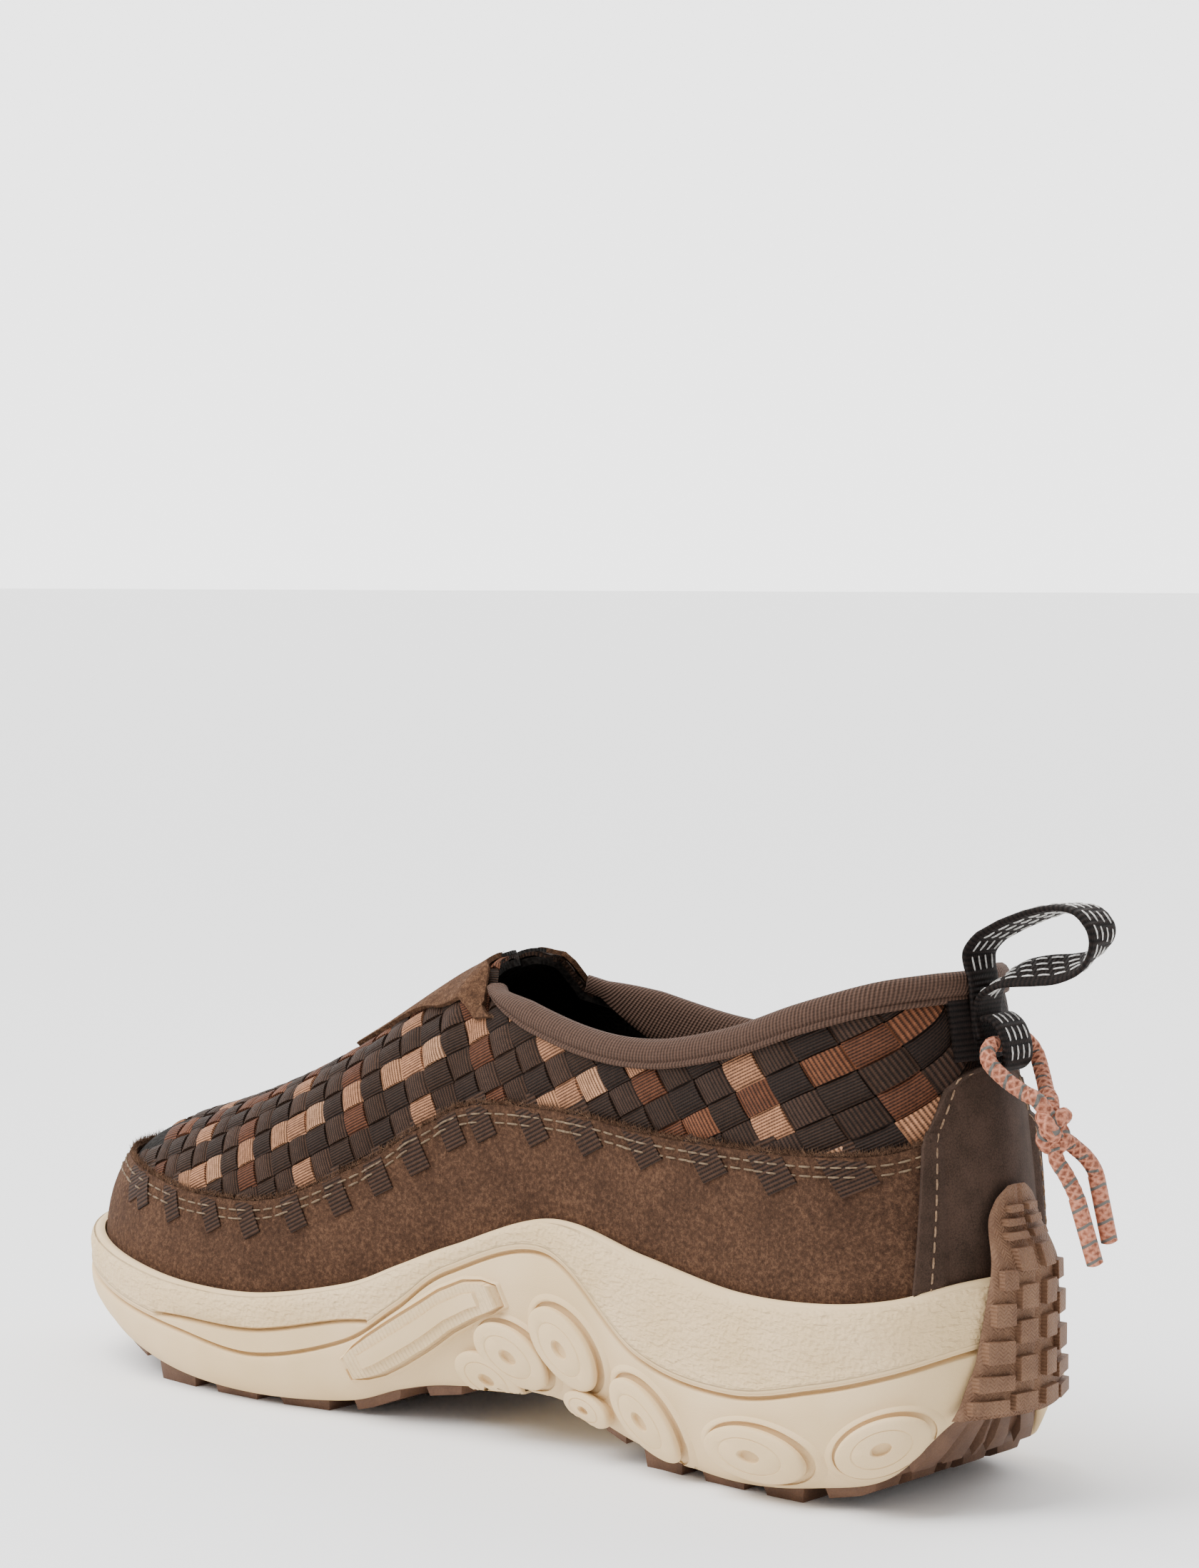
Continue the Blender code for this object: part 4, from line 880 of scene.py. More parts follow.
def strip_tone(crossing, row, crosswise, rng):
    """Each strip keeps one colour over its whole length."""
    if crosswise:
        kind = {1: "light", 4: "brown"}.get(crossing % 6, "dark")
    else:
        kind = {-13: "light", -10: "brown", -7: "light", -3: "brown", 0: "light",
                4: "light", 7: "brown", 10: "light"}.get(row, "dark")
    tints = {"light": LIGHT_TINTS, "brown": BROWN_TINTS, "dark": DARK_TINTS}[kind]
    base = np.array(linear(tints[(crossing * 7 + row * 3) % len(tints)]))
    if kind == "dark" and crossing > 20:
        base = base * (0.78, 0.80, 0.84, 1.0)
    return base * rng.uniform(0.92, 1.08)


# longest visible length of strip behind the heel's bend, and elsewhere
LONGEST_CELL = (0.014, 0.027)
# half a visible strip's length, half its width crosswise and lengthwise, in strips
CELL_REACH = 0.56
CELL_WIDTHS = (0.475, 0.465)
# millimetres of map along and across half a strip
CELL_MAP = (4.6, 3.7)
CELL_STEPS = (-1.0, -1.0, -0.84, -0.45, 0.0, 0.45, 0.84, 1.0, 1.0)


def cell_shape():
    """One visible length of strip: a grid with its border turned down."""
    points, faces = template("grid", x_subdivisions=8, y_subdivisions=8, size=8.0)
    a = np.rint(points[:, 0] + 4).astype(int)
    b = np.rint(points[:, 1] + 4).astype(int)
    steps = np.array(CELL_STEPS)
    border = (a == 0) | (a == 8) | (b == 0) | (b == 8)
    return steps[a], steps[b], border, faces


def weave_cells(rng):
    """Places, maps and colours of every visible length of strip."""
    long_way, wide_way, border, faces = cell_shape()
    best = {}
    for name, (field, first, last) in FIELDS.items():
        end = field.points.shape[1] - (EDGE - 1 if name == "vamp" else 0)
        for i in range(first, last):
            for j in range(EDGE - 1, end):
                k, r = field.first[i, j], field.second[i, j]
                key = (round(k), round(r))
                gap = (k - key[0]) ** 2 + (r - key[1]) ** 2
                if key not in best or gap < best[key][0]:
                    best[key] = (gap, name, i, j)
    groups = {"inner": [], "outer": [], "vamp": []}
    for key, (_, name, i, j) in sorted(best.items()):
        groups[name].append((*key, i, j))
    placed, maps, tints, longest = [], [], [], []
    for name, cells in groups.items():
        field = FIELDS[name][0]
        cells = np.array(cells)
        k, r = cells[:, 0], cells[:, 1]
        crosswise = (k + r) % 2 == 1
        a = np.where(crosswise[:, None], wide_way * CELL_WIDTHS[0], long_way * CELL_REACH)
        b = np.where(crosswise[:, None], long_way * CELL_REACH, wide_way * CELL_WIDTHS[1])
        i, j = field.find(k[:, None] + a, r[:, None] + b,
                          np.repeat(cells[:, 2:3], len(long_way), 1),
                          np.repeat(cells[:, 3:4], len(long_way), 1))
        width = field.points.shape[1] - 1
        level = np.minimum(j, width - j) if name == "vamp" else j
        tucked = np.clip((level - EDGE + 0.1) / 0.9, 0.0, 1.0)
        crown = 1.05 * (1 - np.abs(long_way) ** 3.2) + 0.12 * (1 - wide_way ** 2)
        lift = (0.15 + crown * tucked - np.where(border, 0.9, 0.0) * (0.2 + 0.8 * tucked)) * MM
        placed.append(field.lifted(i, j, lift))
        longest.append(np.where(k < 0, *LONGEST_CELL))
        own_map = np.stack([long_way * CELL_MAP[0], wide_way * CELL_MAP[1]], -1)
        maps.append(own_map[None] + rng.uniform(0, 9, (len(cells), 1, 2)))
        tints.append([strip_tone(int(c[0]), int(c[1]), bool(w), rng)
                      for c, w in zip(cells, crosswise)])
    placed, maps, tints = (np.concatenate(part) for part in (placed, maps, tints))
    whole = np.linalg.norm(placed.max(1) - placed.min(1), axis=1) < np.concatenate(longest)
    return faces, placed[whole], maps[whole], tints[whole]


class ShoeSizes(bpy.types.PropertyGroup):
    """Sizes and colours that a user would change."""

    rand_wall: bpy.props.FloatProperty(
        name="Rand thickness", description="Thickness of the suede round the foot",
        default=0.0015, min=0.0005, max=0.003, unit="LENGTH")
    counter_wall: bpy.props.FloatProperty(
        name="Counter thickness", description="Thickness of the nubuck panel at the heel",
        default=0.0016, min=0.0005, max=0.003, unit="LENGTH")
    stitch_length: bpy.props.FloatProperty(
        name="Stitch length", description="Length of one stitch on the suede",
        default=0.0032, min=0.001, max=0.006, unit="LENGTH")
    thread_radius: bpy.props.FloatProperty(
        name="Thread radius", description="Half the thickness of the thread",
        default=0.00028, min=0.0001, max=0.001, unit="LENGTH")
    groove_depth: bpy.props.FloatProperty(
        name="Groove depth", description="Depth of the grooves in the side of the sole",
        default=0.0023, min=0.0, max=0.003, unit="LENGTH")
    cord_diameter: bpy.props.FloatProperty(
        name="Cord diameter", description="Diameter of the braided cord",
        default=0.0038, min=0.002, max=0.006, unit="LENGTH")
    webbing_width: bpy.props.FloatProperty(
        name="Loop width", description="Width of the webbing of the heel loops",
        default=0.0110, min=0.006, max=0.016, unit="LENGTH")
    floor_colour: bpy.props.FloatVectorProperty(
        name="Floor colour", description="Colour of the studio floor",
        default=linear("#F4F4F4")[:3], min=0.0, max=1.0, subtype="COLOR")


def sizes():
    return bpy.context.scene.walking_shoe


# Upper
LINING_DROP = 0.0002
LINING_WALL = 0.0018


def build_lining():
    piece = sheet("upper_lining", SHELL[::2] - SHELL_OUT[::2] * LINING_DROP)
    weld(piece)
    face_out(piece)
    wall(piece, LINING_WALL, -1)
    dress(piece, look("lining"), ("upper",))


def build_weave():
    rng = np.random.default_rng(7)
    faces, places, maps, tints = weave_cells(rng)
    piece = stamped("woven_strips", faces, places, uv=maps, tint=tints)
    dress(piece, look("webbing strips"), angle=50)


# Suede rand with its tabs, thread and loose fibres
RAND_START = 1.33
STITCH_GAP = 0.0009
FINE_THREAD = 0.00026
THREAD_DROPS = (("upper", 0.0024), ("lower", 0.0046))
TAB_CROSSINGS = (-3.2, -2.35, -0.2, 2.2, 4.2, 6.6, 8.8, 10.8, 12.55, 14.35, 15.7, 17.7, 19.55,
                 21.4, 23.25, 24.95, 26.55)


def rand_stations(step=0.05):
    return np.arange(RAND_START, 2 * STATIONS - RAND_START + step / 2, step)


def edge_waver(u):
    """The cut edge of the suede is a little uneven."""
    return 0.05 * np.sin(u * 23.1) + 0.04 * np.sin(u * 51.7 + 1.0) + 0.03 * np.sin(u * 97.0)


def rand_rise(share):
    """Gap in mm under the suede, which bulges near its top edge."""
    return 0.3 + 0.55 * np.clip((share - 0.8) / 0.2, 0, 1) ** 2


def build_rand():
    u = rand_stations()
    share = np.linspace(0, 1, 25)
    level = share[None] * (EDGE + 0.25 + edge_waver(u))[:, None]
    points = on_shell(u[:, None], level, rand_rise(share[None]) * MM)
    piece = sheet("suede_rand", points)
    face_out(piece)
    wall(piece, sizes().rand_wall)
    dress(piece, look("rand suede"), ("rand",))
    fine = rand_stations(0.0034)
    lift = 0.5 * sizes().rand_wall + 0.85 * MM
    edge = on_shell(fine, EDGE + 0.2 + edge_waver(fine), lift)
    up = unit(on_shell(fine, EDGE + 0.9, lift) - edge)
    out = unit(shell_path(fine, EDGE + 0.2, lift)[1])
    hairs("rand_edge_fibres", edge, 0.9 * up + 0.5 * out, 3, look("fibres"),
          (0.8, 2.3))


def below_edge(u, drop):
    """Level on the upper a given distance below the rand's top edge."""
    girth = np.linalg.norm(np.diff(blended_rows(u), axis=1), axis=-1).sum(1)
    return EDGE * (1 - drop / girth)


def blended_rows(u):
    grid = SHELL[:, :EDGE + 1]
    i = np.asarray(u) / STEP
    a = np.clip(np.floor(i).astype(int), 0, len(grid) - 2)
    f = (i - a)[:, None, None]
    return grid[a] * (1 - f) + grid[a + 1] * f


def shell_path(u, level, lift):
    """A path on the upper, and the way out at each of its points."""
    path = on_shell(u, level, lift)
    return path, on_shell(u, level, lift + 0.001) - path


def build_rand_thread():
    u = rand_stations(0.02)
    for name, drop in THREAD_DROPS:
        level = below_edge(u, drop)
        lift = sizes().rand_wall + rand_rise(level / EDGE) * MM
        path, out = shell_path(u, level, lift)
        stitches("rand_thread_" + name, path, out, sizes().stitch_length, STITCH_GAP,
                 sizes().thread_radius, look("thread"))


def build_tabs():
    """Ends of crosswise strips, folded out over the rand and stitched down."""
    long_way, wide_way, border, faces = cell_shape()
    rng = np.random.default_rng(11)
    placed, maps = [], []
    for name, sign in (("inner", 1), ("outer", -1)):
        field = FIELDS[name][0]
        crossing = field.first[:, EDGE]
        row = field.second[:, EDGE]
        order = np.argsort(crossing)
        wanted = TAB_CROSSINGS if sign > 0 else np.arange(-1.5, crossing.max() - 1.6, 1.95)
        for k in wanted:
            edge_row = float(np.interp(k - 0.45, crossing[order], row[order]))
            first = k - 0.45 + 0.44 * wide_way + rng.normal(0, 0.02)
            second = edge_row + sign * (0.45 + long_way * rng.uniform(0.82, 0.95))
            i0, j0 = field.nearest(k - 0.45, edge_row)
            i, j = field.find(first, second, np.full(len(first), i0), np.full(len(first), j0))
            over = np.clip((EDGE + 0.9 - j) / 1.2, 0, 1)
            lift = (1.0 + 1.45 * over - np.where(border, 0.75, 0.0)) * MM
            lift = lift - 0.25 * MM * np.clip(sign * long_way, 0, 1) ** 4
            placed.append(field.lifted(i, j, lift))
            maps.append(np.stack([long_way * 5.2, wide_way * 3.6], -1) + rng.uniform(0, 9, 2))
    piece = stamped("webbing_tabs", faces, np.array(placed), uv=np.array(maps))
    dress(piece, look("webbing tabs"), angle=50)
    u = rand_stations(0.02)
    u = u[(u > 1.8) & (u < 2 * STATIONS - 1.8)]
    for name, drop in THREAD_DROPS:
        path, out = shell_path(u, below_edge(u, drop), 2.45 * MM)
        for index, (first, last) in enumerate(stitch_windows(u, drop)):
            stitches("tab_thread_%s_%d" % (name, index), path[first:last], out[first:last],
                     0.0030, STITCH_GAP, FINE_THREAD, look("thread"))


def stitch_windows(u, drop):
    """Runs of stations that lie on a tab of the inner side."""
    field = FIELDS["inner"][0]
    inner = u[u < STATIONS]
    crossing = np.interp(inner, np.arange(len(field.first)) * STEP, field.first[:, EDGE])
    lean = 0.018 * drop / MM
    windows = []
    for k in TAB_CROSSINGS:
        inside = np.nonzero(np.abs(crossing - (k - 0.45 - lean)) < 0.46)[0]
        if len(inside) > 8:
            windows.append((int(inside[0]), int(inside[-1]) + 1))
    return windows


# Heel counter
COUNTER_TOP = 28.0


def counter_level(share):
    return COUNTER_TOP - 6.0 * np.abs(share) ** 3.5


def counter_edge(level):
    """Station of the counter's front edge, which slopes back as it rises."""
    return 1.85 - 1.05 * (level / COUNTER_TOP) ** 0.8


def over_rand(station, level):
    """Extra lift in mm where the counter lies over the end of the rand."""
    lapped = np.clip((np.abs(station) - 1.10) / 0.22, 0, 1)
    return 1.55 * lapped ** 2 * (3 - 2 * lapped) * np.clip((EDGE + 2.5 - level) / 2.0, 0, 1)


def build_counter():
    share = np.linspace(-1, 1, 121)
    height = np.linspace(0, 1, 81)
    level = height[None] * counter_level(share)[:, None]
    station = share[:, None] * counter_edge(level)
    border = np.maximum(np.abs(share)[:, None], height[None] ** 1.5)
    bead = 0.55 * np.exp(-((1 - border) / 0.05) ** 2)
    points = on_shell(station, level, (0.3 + bead + over_rand(station, level)) * MM)
    piece = sheet("nubuck_counter", points)
    face_out(piece)
    wall(piece, sizes().counter_wall)
    modify(piece, "BEVEL", width=0.0004, segments=2, limit_method="ANGLE")
    dress(piece, look("nubuck"), ("heel_counter",))
    for side in (-1, 1):
        top = counter_level(0.84) * 0.965
        share_run = np.concatenate([np.full(120, 0.84), np.linspace(0.84, 0.30, 40)])
        crest = top + (COUNTER_TOP * 0.955 - top) * np.linspace(0, 1, 40) ** 0.6
        level_run = np.concatenate([np.linspace(1.0, top, 120), crest])
        station = side * share_run * counter_edge(level_run)
        lift = sizes().counter_wall + (0.35 + over_rand(station, level_run)) * MM
        path, out = shell_path(station, level_run, lift)
        stitches("counter_thread_%s" % ("inner" if side > 0 else "outer"), path, out,
                 0.0026, 0.0010, FINE_THREAD, look("dark thread"))


# Instep: two suede strips and an elastic gore
INSTEP_FRONT = 0.686
STRIP_INNER = (0.130, 0.100)
STRIP_OUTER = (0.430, 0.215)
STRIP_WALL = 0.0013
TAPE_WALL = 0.0011


def throat_along(across):
    u = np.linspace(CLOSED_FROM - 2.2, CLOSED_FROM - 0.001, 60)
    along, width, _ = topline(u)
    return np.interp(np.abs(across), width[::-1], along[::-1])


def instep_points(tree, edges, rows, columns, lift, margin=0.0013):
    """Points between two edges that taper to the front, lowered onto the vamp."""
    share = np.linspace(0, 1, rows)[:, None]
    side = np.linspace(0, 1, columns)[None]
    left, right = (HALF * (edge[0] + (edge[1] - edge[0]) * share) for edge in edges)
    across = left * (1 - side) + right * side
    back_across = HALF * (edges[0][0] * (1 - side) + edges[1][0] * side)
    aside = np.abs(back_across) / (HALF * STRIP_OUTER[0])
    back = throat_along(back_across) + margin * (1 + 2.2 * aside ** 2)
    along = back + (SOLE_LENGTH * INSTEP_FRONT - back) * share
    spots = np.stack(np.broadcast_arrays(along, across, 0.25), -1)
    lifts = np.broadcast_to(lift, along.shape)
    points = world(spots)
    for i, j in np.ndindex(along.shape):
        hit, normal = tree.ray_cast(Vector(points[i, j]), Vector((0, 0, -1)))[:2]
        points[i, j] = hit + normal * (lifts[i, j] if normal.z > 0 else -lifts[i, j])
    return world(points)


def vamp_tree():
    """The upper's outer face, for laying pieces on it."""
    grid = world(SHELL[::2])
    rows, columns = grid.shape[:2]
    corner = np.arange(rows * columns).reshape(rows, columns)
    faces = np.stack([corner[:-1, :-1], corner[:-1, 1:], corner[1:, 1:], corner[1:, :-1]], -1)
    return BVHTree.FromPolygons(grid.reshape(-1, 3).tolist(), faces.reshape(-1, 4).tolist())


def build_instep():
    tree = vamp_tree()
    far_inner = [-v for v in STRIP_INNER]
    far_outer = [-v for v in STRIP_OUTER]
    gore = [STRIP_INNER[0] + 0.01, STRIP_INNER[1] + 0.01]
    for name, edges in (("strip_medial", (STRIP_INNER, STRIP_OUTER)),
                        ("strip_lateral", (far_inner, far_outer))):
        lift = (1.45 - 0.30 * np.abs(np.linspace(-1, 1, 17)[None]) ** 6) * MM
        points = instep_points(tree, edges, 49, 17, lift)
        piece = sheet("suede_" + name, points)
        face_out(piece)
        wall(piece, STRIP_WALL)
        dress(piece, look("strip suede"), (name,))
        rim = np.concatenate([points[:, 0], points[-1], points[::-1, -1]])
        inner = np.concatenate([points[:, 1], points[-2], points[::-1, -2]])
        way = walked(rim)
        spots = np.linspace(0, way[-1], 900)
        roots = placed_along(spots, way, rim)
        ways = unit(roots - placed_along(spots, way, inner), 1e-9)
        roots[:, 2] += STRIP_WALL / 2 - 0.05 * MM
        hairs("fibres_" + name, roots, ways + np.array([0, 0, 0.5]), 5, look("fibres"),
              (0.5, 1.3))
    points = instep_points(tree, ([-v for v in gore], gore), 31, 15, 1.0 * MM, 0.0004)
    uv = np.stack(np.broadcast_arrays(np.linspace(-7, 7, 15)[None],
                                      np.linspace(0, 35, 31)[:, None]), -1)
    piece = sheet("elastic_gore", points, uv=uv)
    face_out(piece)
    wall(piece, TAPE_WALL)
    dress(piece, look("gore"), ("gore",))


# Padded collar: roll, piping bead and the lining turned over inside (millimetres)
COLLAR_PROFILE = (
    # out, up
    (1.15, -3.85), (1.75, -4.05), (2.30, -3.65), (2.42, -3.05), (2.10, -2.50), (1.90, -2.30),
    (2.25, -1.95), (2.55, -1.10), (2.60, 0.10), (2.30, 1.40), (1.60, 2.45), (0.60, 3.05),
    (-0.60, 3.00), (-1.60, 2.30), (-2.30, 0.90), (-2.70, -1.20), (-2.95, -3.80), (-2.95, -6.60),
    (-2.70, -8.60), (-2.20, -9.20), (-1.80, -8.20), (-1.60, -5.50), (-0.60, -4.10), (0.40, -3.90),
)


def build_collar():
    end = ROLL_END - 0.05
    u = np.linspace(-end, end, 361)
    along, across, up = topline(u)
    base = np.stack([along, across, up + ROLL_CLEAR + BINDING_HEIGHT / 2], 1)
    way = unit(np.gradient(base, axis=0))
    out = np.cross(way, (0.0, 0.0, 1.0))
    out[:, 2] = 0
    out = unit(out)
    if np.mean(np.sum((base[:, :2] - (0.08, 0.0)) * out[:, :2], 1)) < 0:
        out = -out
    rise = np.cross(out, way)
    rise *= np.sign(rise[:, 2:3])
    closed = np.array(COLLAR_PROFILE + COLLAR_PROFILE[:1])
    fade = np.clip((end - np.abs(u)) / 0.9, 0.35, 1.0)[:, None, None]
    shape = closed[None] * np.concatenate([np.full_like(fade, 1.0), fade], -1)
    points = base[:, None] + (out[:, None] * shape[..., :1] + rise[:, None] * shape[..., 1:]) * MM
    length = walked(base)[:, None] * 1000
    round_way = walked(np.column_stack([closed, np.zeros(len(closed))]))[None]
    uv = np.stack(np.broadcast_arrays(length, round_way), -1)
    piece = sheet("collar_roll", points, uv=uv)
    close_ends(piece)
    dress(piece, look("binding"), ("collar_binding",))
    stations = np.linspace(-0.75, 0.75, 31)
    level = np.linspace(29.5, TOP - 0.2, 25)
    points = on_shell(stations[:, None], level[None], 1.35 * MM)
    uv = np.stack(np.broadcast_arrays(level[None] * 0.75, stations[:, None] * 14.0), -1)
    piece = sheet("loop_base_patch", points, uv=uv)
    face_out(piece)
    wall(piece, TAPE_WALL)
    dress(piece, look("loop webbing"))


# Midsole: shares of the way to the middle where its top and underside close
CLOSING = (0.4, 0.75, 1.0)
# first ring of the etched band above the grooves
GRAIN_FROM = 20
GROOVE_SPACE = 0.0018


def closing_rows(edge):
    """Rows that close the space inside a ring towards the shoe's middle line."""
    rows = []
    for share in CLOSING:
        flat = edge.copy()
        flat[:, 1] += (0.5 * (edge[:, 1] + edge[::-1, 1]) - edge[:, 1]) * share
        rows.append(flat)
    return rows


def build_midsole():
    u = np.linspace(0, 2 * STATIONS, 601)
    tread, groove, rim = at("tread", u), at("groove", u), at("rim", u)
    second, foot = at("second", u), at("footbed", u)
    side = np.minimum(u, 2 * STATIONS - u)
    depth = sizes().groove_depth
    short = np.clip((side - 7.9) / 0.6, 0, 1) * np.clip((12.3 - side) / 0.8, 0, 1)
    above = second > groove + GROOVE_SPACE
    second = np.where(above, second, groove + GROOVE_SPACE)
    short = np.where(above, short, 0.0)

    def wall_height(share):
        return tread + (groove - tread) * share

    def band(share):
        low = second + 0.0012
        return low + (rim - low) * share

    rings = [
        (TREAD_INSET, tread), (TREAD_INSET * 0.96, tread - 0.0013),
        (TREAD_INSET * 0.82, tread - 0.0017), (TREAD_INSET * 0.64, tread - 0.0014),
        (TREAD_INSET * 0.46, wall_height(0.02)), (TREAD_INSET * 0.28, wall_height(0.12)),
        (TREAD_INSET * 0.10, wall_height(0.32)), (0.0001, wall_height(0.55)),
        (0.0, wall_height(0.75)),
        (0.0, groove - 0.0010), (0.0002, groove - 0.00065), (depth * 0.85, groove - 0.00035),
        (depth, groove), (depth * 0.85, groove + 0.00035), (0.0002, groove + 0.00065),
        (0.0001, 0.5 * (groove + 0.0011 + second - 0.0008)), (0.0002, second - 0.0008),
        (depth * 0.6 * short, second - 0.0003), (depth * 0.85 * short, second),
        (depth * 0.6 * short, second + 0.0003), (0.0002, second + 0.0008),
        (-0.0001, band(0.25)), (-0.0002, band(0.5)), (0.0001, band(0.72)),
        (RIM_INSET * 0.40, band(0.88)), (RIM_INSET * 0.75, rim - 0.0008),
        (RIM_INSET * 1.15, rim - 0.0002), (RIM_INSET + 0.0009, rim + 0.0001),
        (RIM_INSET + LIP_WIDTH, rim - 0.0003), (RIM_INSET + LIP_WIDTH, foot - 0.0003),
    ]
    rows = []
    for inset, height in rings:
        along, across = outline(u, inset)
        rows.append(np.stack([along, across, height], 1))
    rows = closing_rows(rows[0])[::-1] + rows + closing_rows(rows[-1])
    points = np.stack(rows, 1)
    points[-1] = points[0]
    piece = sheet("foam_midsole", points)
    grain = np.zeros(points.shape[:2])
    start, end = len(CLOSING) + GRAIN_FROM, len(CLOSING) + len(rings) - 5
    grain[:, start:end] = 1.0
    grain[:, start - 1] = 0.6
    layer = piece.data.attributes.new("Grain", "FLOAT", "POINT")
    layer.data.foreach_set("value", grain.astype(np.float32).ravel())
    edit(piece, merge, recalculate)
    dress(piece, look("foam"), ("midsole",), angle=60)
    return piece


# Pods and side plate
POD_LENGTH = 0.0245
POD_HEIGHT = 0.0150
POD_CLEAR = 0.0008
POD_RISE = 0.00325
PODS = (
    # side, name, along as a share of the length, up as a share of the rim, tilt, size, stretch
    (1, "b", 0.430, 0.395, 26.0, 0.90, 1.06), (1, "c", 0.372, 0.472, 38.0, 0.97, 1.06),
    (1, "d", 0.282, 0.240, 38.0, 0.86, 1.22), (1, "e", 0.166, 0.198, 2.0, 0.88, 1.36),
    (1, "f", 0.060, 0.300, -24.0, 0.86, 1.12), (-1, "b", 0.435, 0.420, 14.0, 0.80, 1.1),
    (-1, "c", 0.350, 0.375, 18.0, 0.76, 1.1), (-1, "d", 0.265, 0.285, 12.0, 0.76, 1.1),
    (-1, "e", 0.164, 0.235, 2.0, 0.84, 1.1), (-1, "f", 0.073, 0.345, -28.0, 0.68, 1.1))
MOAT_RINGS = (
    # share of the pod's radius, lift in mm: the rim of the moulded gap round a pod
    (1.30, -0.30), (1.22, 0.35), (1.15, 0.75), (1.11, 0.85), (1.085, 0.70), (1.08, -0.60))
SMALL_PODS = (
    # as the pods, without a body or a moulded gap: the two blocks low in the arch
    (1, "a", 0.455, 0.275, 22.0, 0.80, 1.05), (1, "g", 0.350, 0.225, 10.0, 0.58, 1.1))
POD_RINGS = (
    # share of the radius, share of the rise
    (0.84, -0.50), (0.84, 0.30), (0.90, 0.36), (1.00, 0.44), (1.00, 0.68), (0.985, 0.82),
    (0.95, 0.92), (0.90, 0.98), (0.80, 1.04), (0.66, 1.09), (0.63, 1.03), (0.60, 1.10),
    (0.34, 1.16), (0.24, 1.15), (0.21, 1.04), (0.19, 0.74), (0.15, 0.66), (0.0, 0.64))


def station_at(along, side=1):
    fine = np.linspace(0, STATIONS, 1501)
    u = np.interp(along, at("along", fine), fine)
    return u if side > 0 else 2 * STATIONS - u


def side_frame(u, side):
    """Point of the sole's outline, its outward way and its forward way."""
    along, across = outline(u)
    a, b = outline(u + 0.03), outline(u - 0.03)
    way = unit(np.array([a[0] - b[0], a[1] - b[1]]))
    if way[0] < 0:
        way = -way
    out = np.array([-way[1], way[0]]) * side
    return (np.array([along, across]), np.array([out[0], out[1], 0.0]),
            np.array([way[0], way[1], 0.0]))


def wall_tree(piece):
    mesh = piece.data
    return BVHTree.FromPolygons([v.co for v in mesh.vertices],
                                [tuple(p.vertices) for p in mesh.polygons])


def on_wall(tree, points, out, lift):
    """Points carried straight in to the sole's side, then lifted off it."""
    way = Vector((-out[0], -out[1], out[2]))
    made = np.empty_like(points)
    for index, point in enumerate(world(points)):
        start = Vector(point) + way * 0.02
        hit = tree.ray_cast(start, -way)[0]
        if hit is None:
            hit = tree.find_nearest(Vector(point))[0]
        made[index] = hit + way * lift[index]
    return world(made)


def build_pods(tree):
    small = [pod[1] for pod in SMALL_PODS]
    for side, name, along, up, tilt, size, stretch in PODS + SMALL_PODS:
        u = station_at(SOLE_LENGTH * along, side)
        centre, out, way = side_frame(u, side)
        turn = math.radians(tilt)
        long_way = way * math.cos(turn) + np.array([0, 0, math.sin(turn)])
        short_way = np.array([0, 0, math.cos(turn)]) - way * math.sin(turn)
        angle = np.linspace(0, math.tau, 65)
        start = np.array([centre[0], centre[1], RIM_HEIGHT * up])
        lengthwise = np.cos(angle)[:, None] * long_way * POD_LENGTH * stretch
        ellipse = (lengthwise + np.sin(angle)[:, None] * short_way * POD_HEIGHT) / 2 * size

        def rings(shape):
            return np.stack([on_wall(tree, start + ellipse * max(reach, 0.002), out,
                                     np.full(len(angle), lift)) for reach, lift in shape], 1)

        which = "inner" if side > 0 else "outer"
        if name not in small:
            moat = sheet("foam_moat_%s_%s" % (which, name),
                         rings((reach, lift * MM) for reach, lift in MOAT_RINGS))
            weld(moat)
            face_out(moat)
            dress(moat, look("foam"), angle=45)
        piece = sheet("foam_pod_%s_%s" % (which, name),
                      rings((reach, POD_CLEAR + POD_RISE * rise) for reach, rise in POD_RINGS))
        close_ends(piece)
        node_name = "pod_%s_%s" % ("medial" if side > 0 else "lateral", name)
        dress(piece, look("foam"), () if name in small else (node_name,), angle=35)


PLATE_LINE = (
    # along as a share of the length, up as a share of the rim height, half width in mm
    (0.597, 0.228, 2.4), (0.585, 0.262, 3.8), (0.570, 0.305, 4.6), (0.550, 0.370, 4.9),
    (0.525, 0.455, 4.9), (0.500, 0.545, 4.7), (0.475, 0.610, 4.4), (0.457, 0.636, 3.6),
    (0.446, 0.645, 2.4))


PLATE_HALF = 0.0045
PLATE_WALL = 0.0008


def plate_moat(tree, even):
    """The moulded lip round the plate, with a narrow gap between them."""
    rows = []
    ahead = even[0] - even[2]
    for reach, lift in MOAT_RINGS:
        line = even * (1, 1, reach)
        grown = (reach - 1) * PLATE_HALF / np.hypot(ahead[0], ahead[1])
        line[0, :2] += ahead[:2] * grown
        line[-1, :2] -= (even[-3] - even[-1])[:2] * grown
        front, back = line[:1, :2], line[-1:, :2]
        along = line[:, 2] * 0.5
        upper = np.stack([line[:, 0] + along, line[:, 1] + line[:, 2]], 1)
        lower = np.stack([line[:, 0] - along, line[:, 1] - line[:, 2]], 1)[::-1]
        loop = spread(np.vstack([upper, back, lower, front]), 160)
        spots = []
        for where, up in loop:
            point, out, _ = side_frame(station_at(where), 1)
            spots.append(on_wall(tree, np.array([[point[0], point[1], up]]), out, [lift * MM])[0])
        rows.append(spots)
    piece = sheet("foam_moat_plate", np.array(rows).transpose(1, 0, 2))
    weld(piece)
    face_out(piece)
    dress(piece, look("foam"), angle=45)


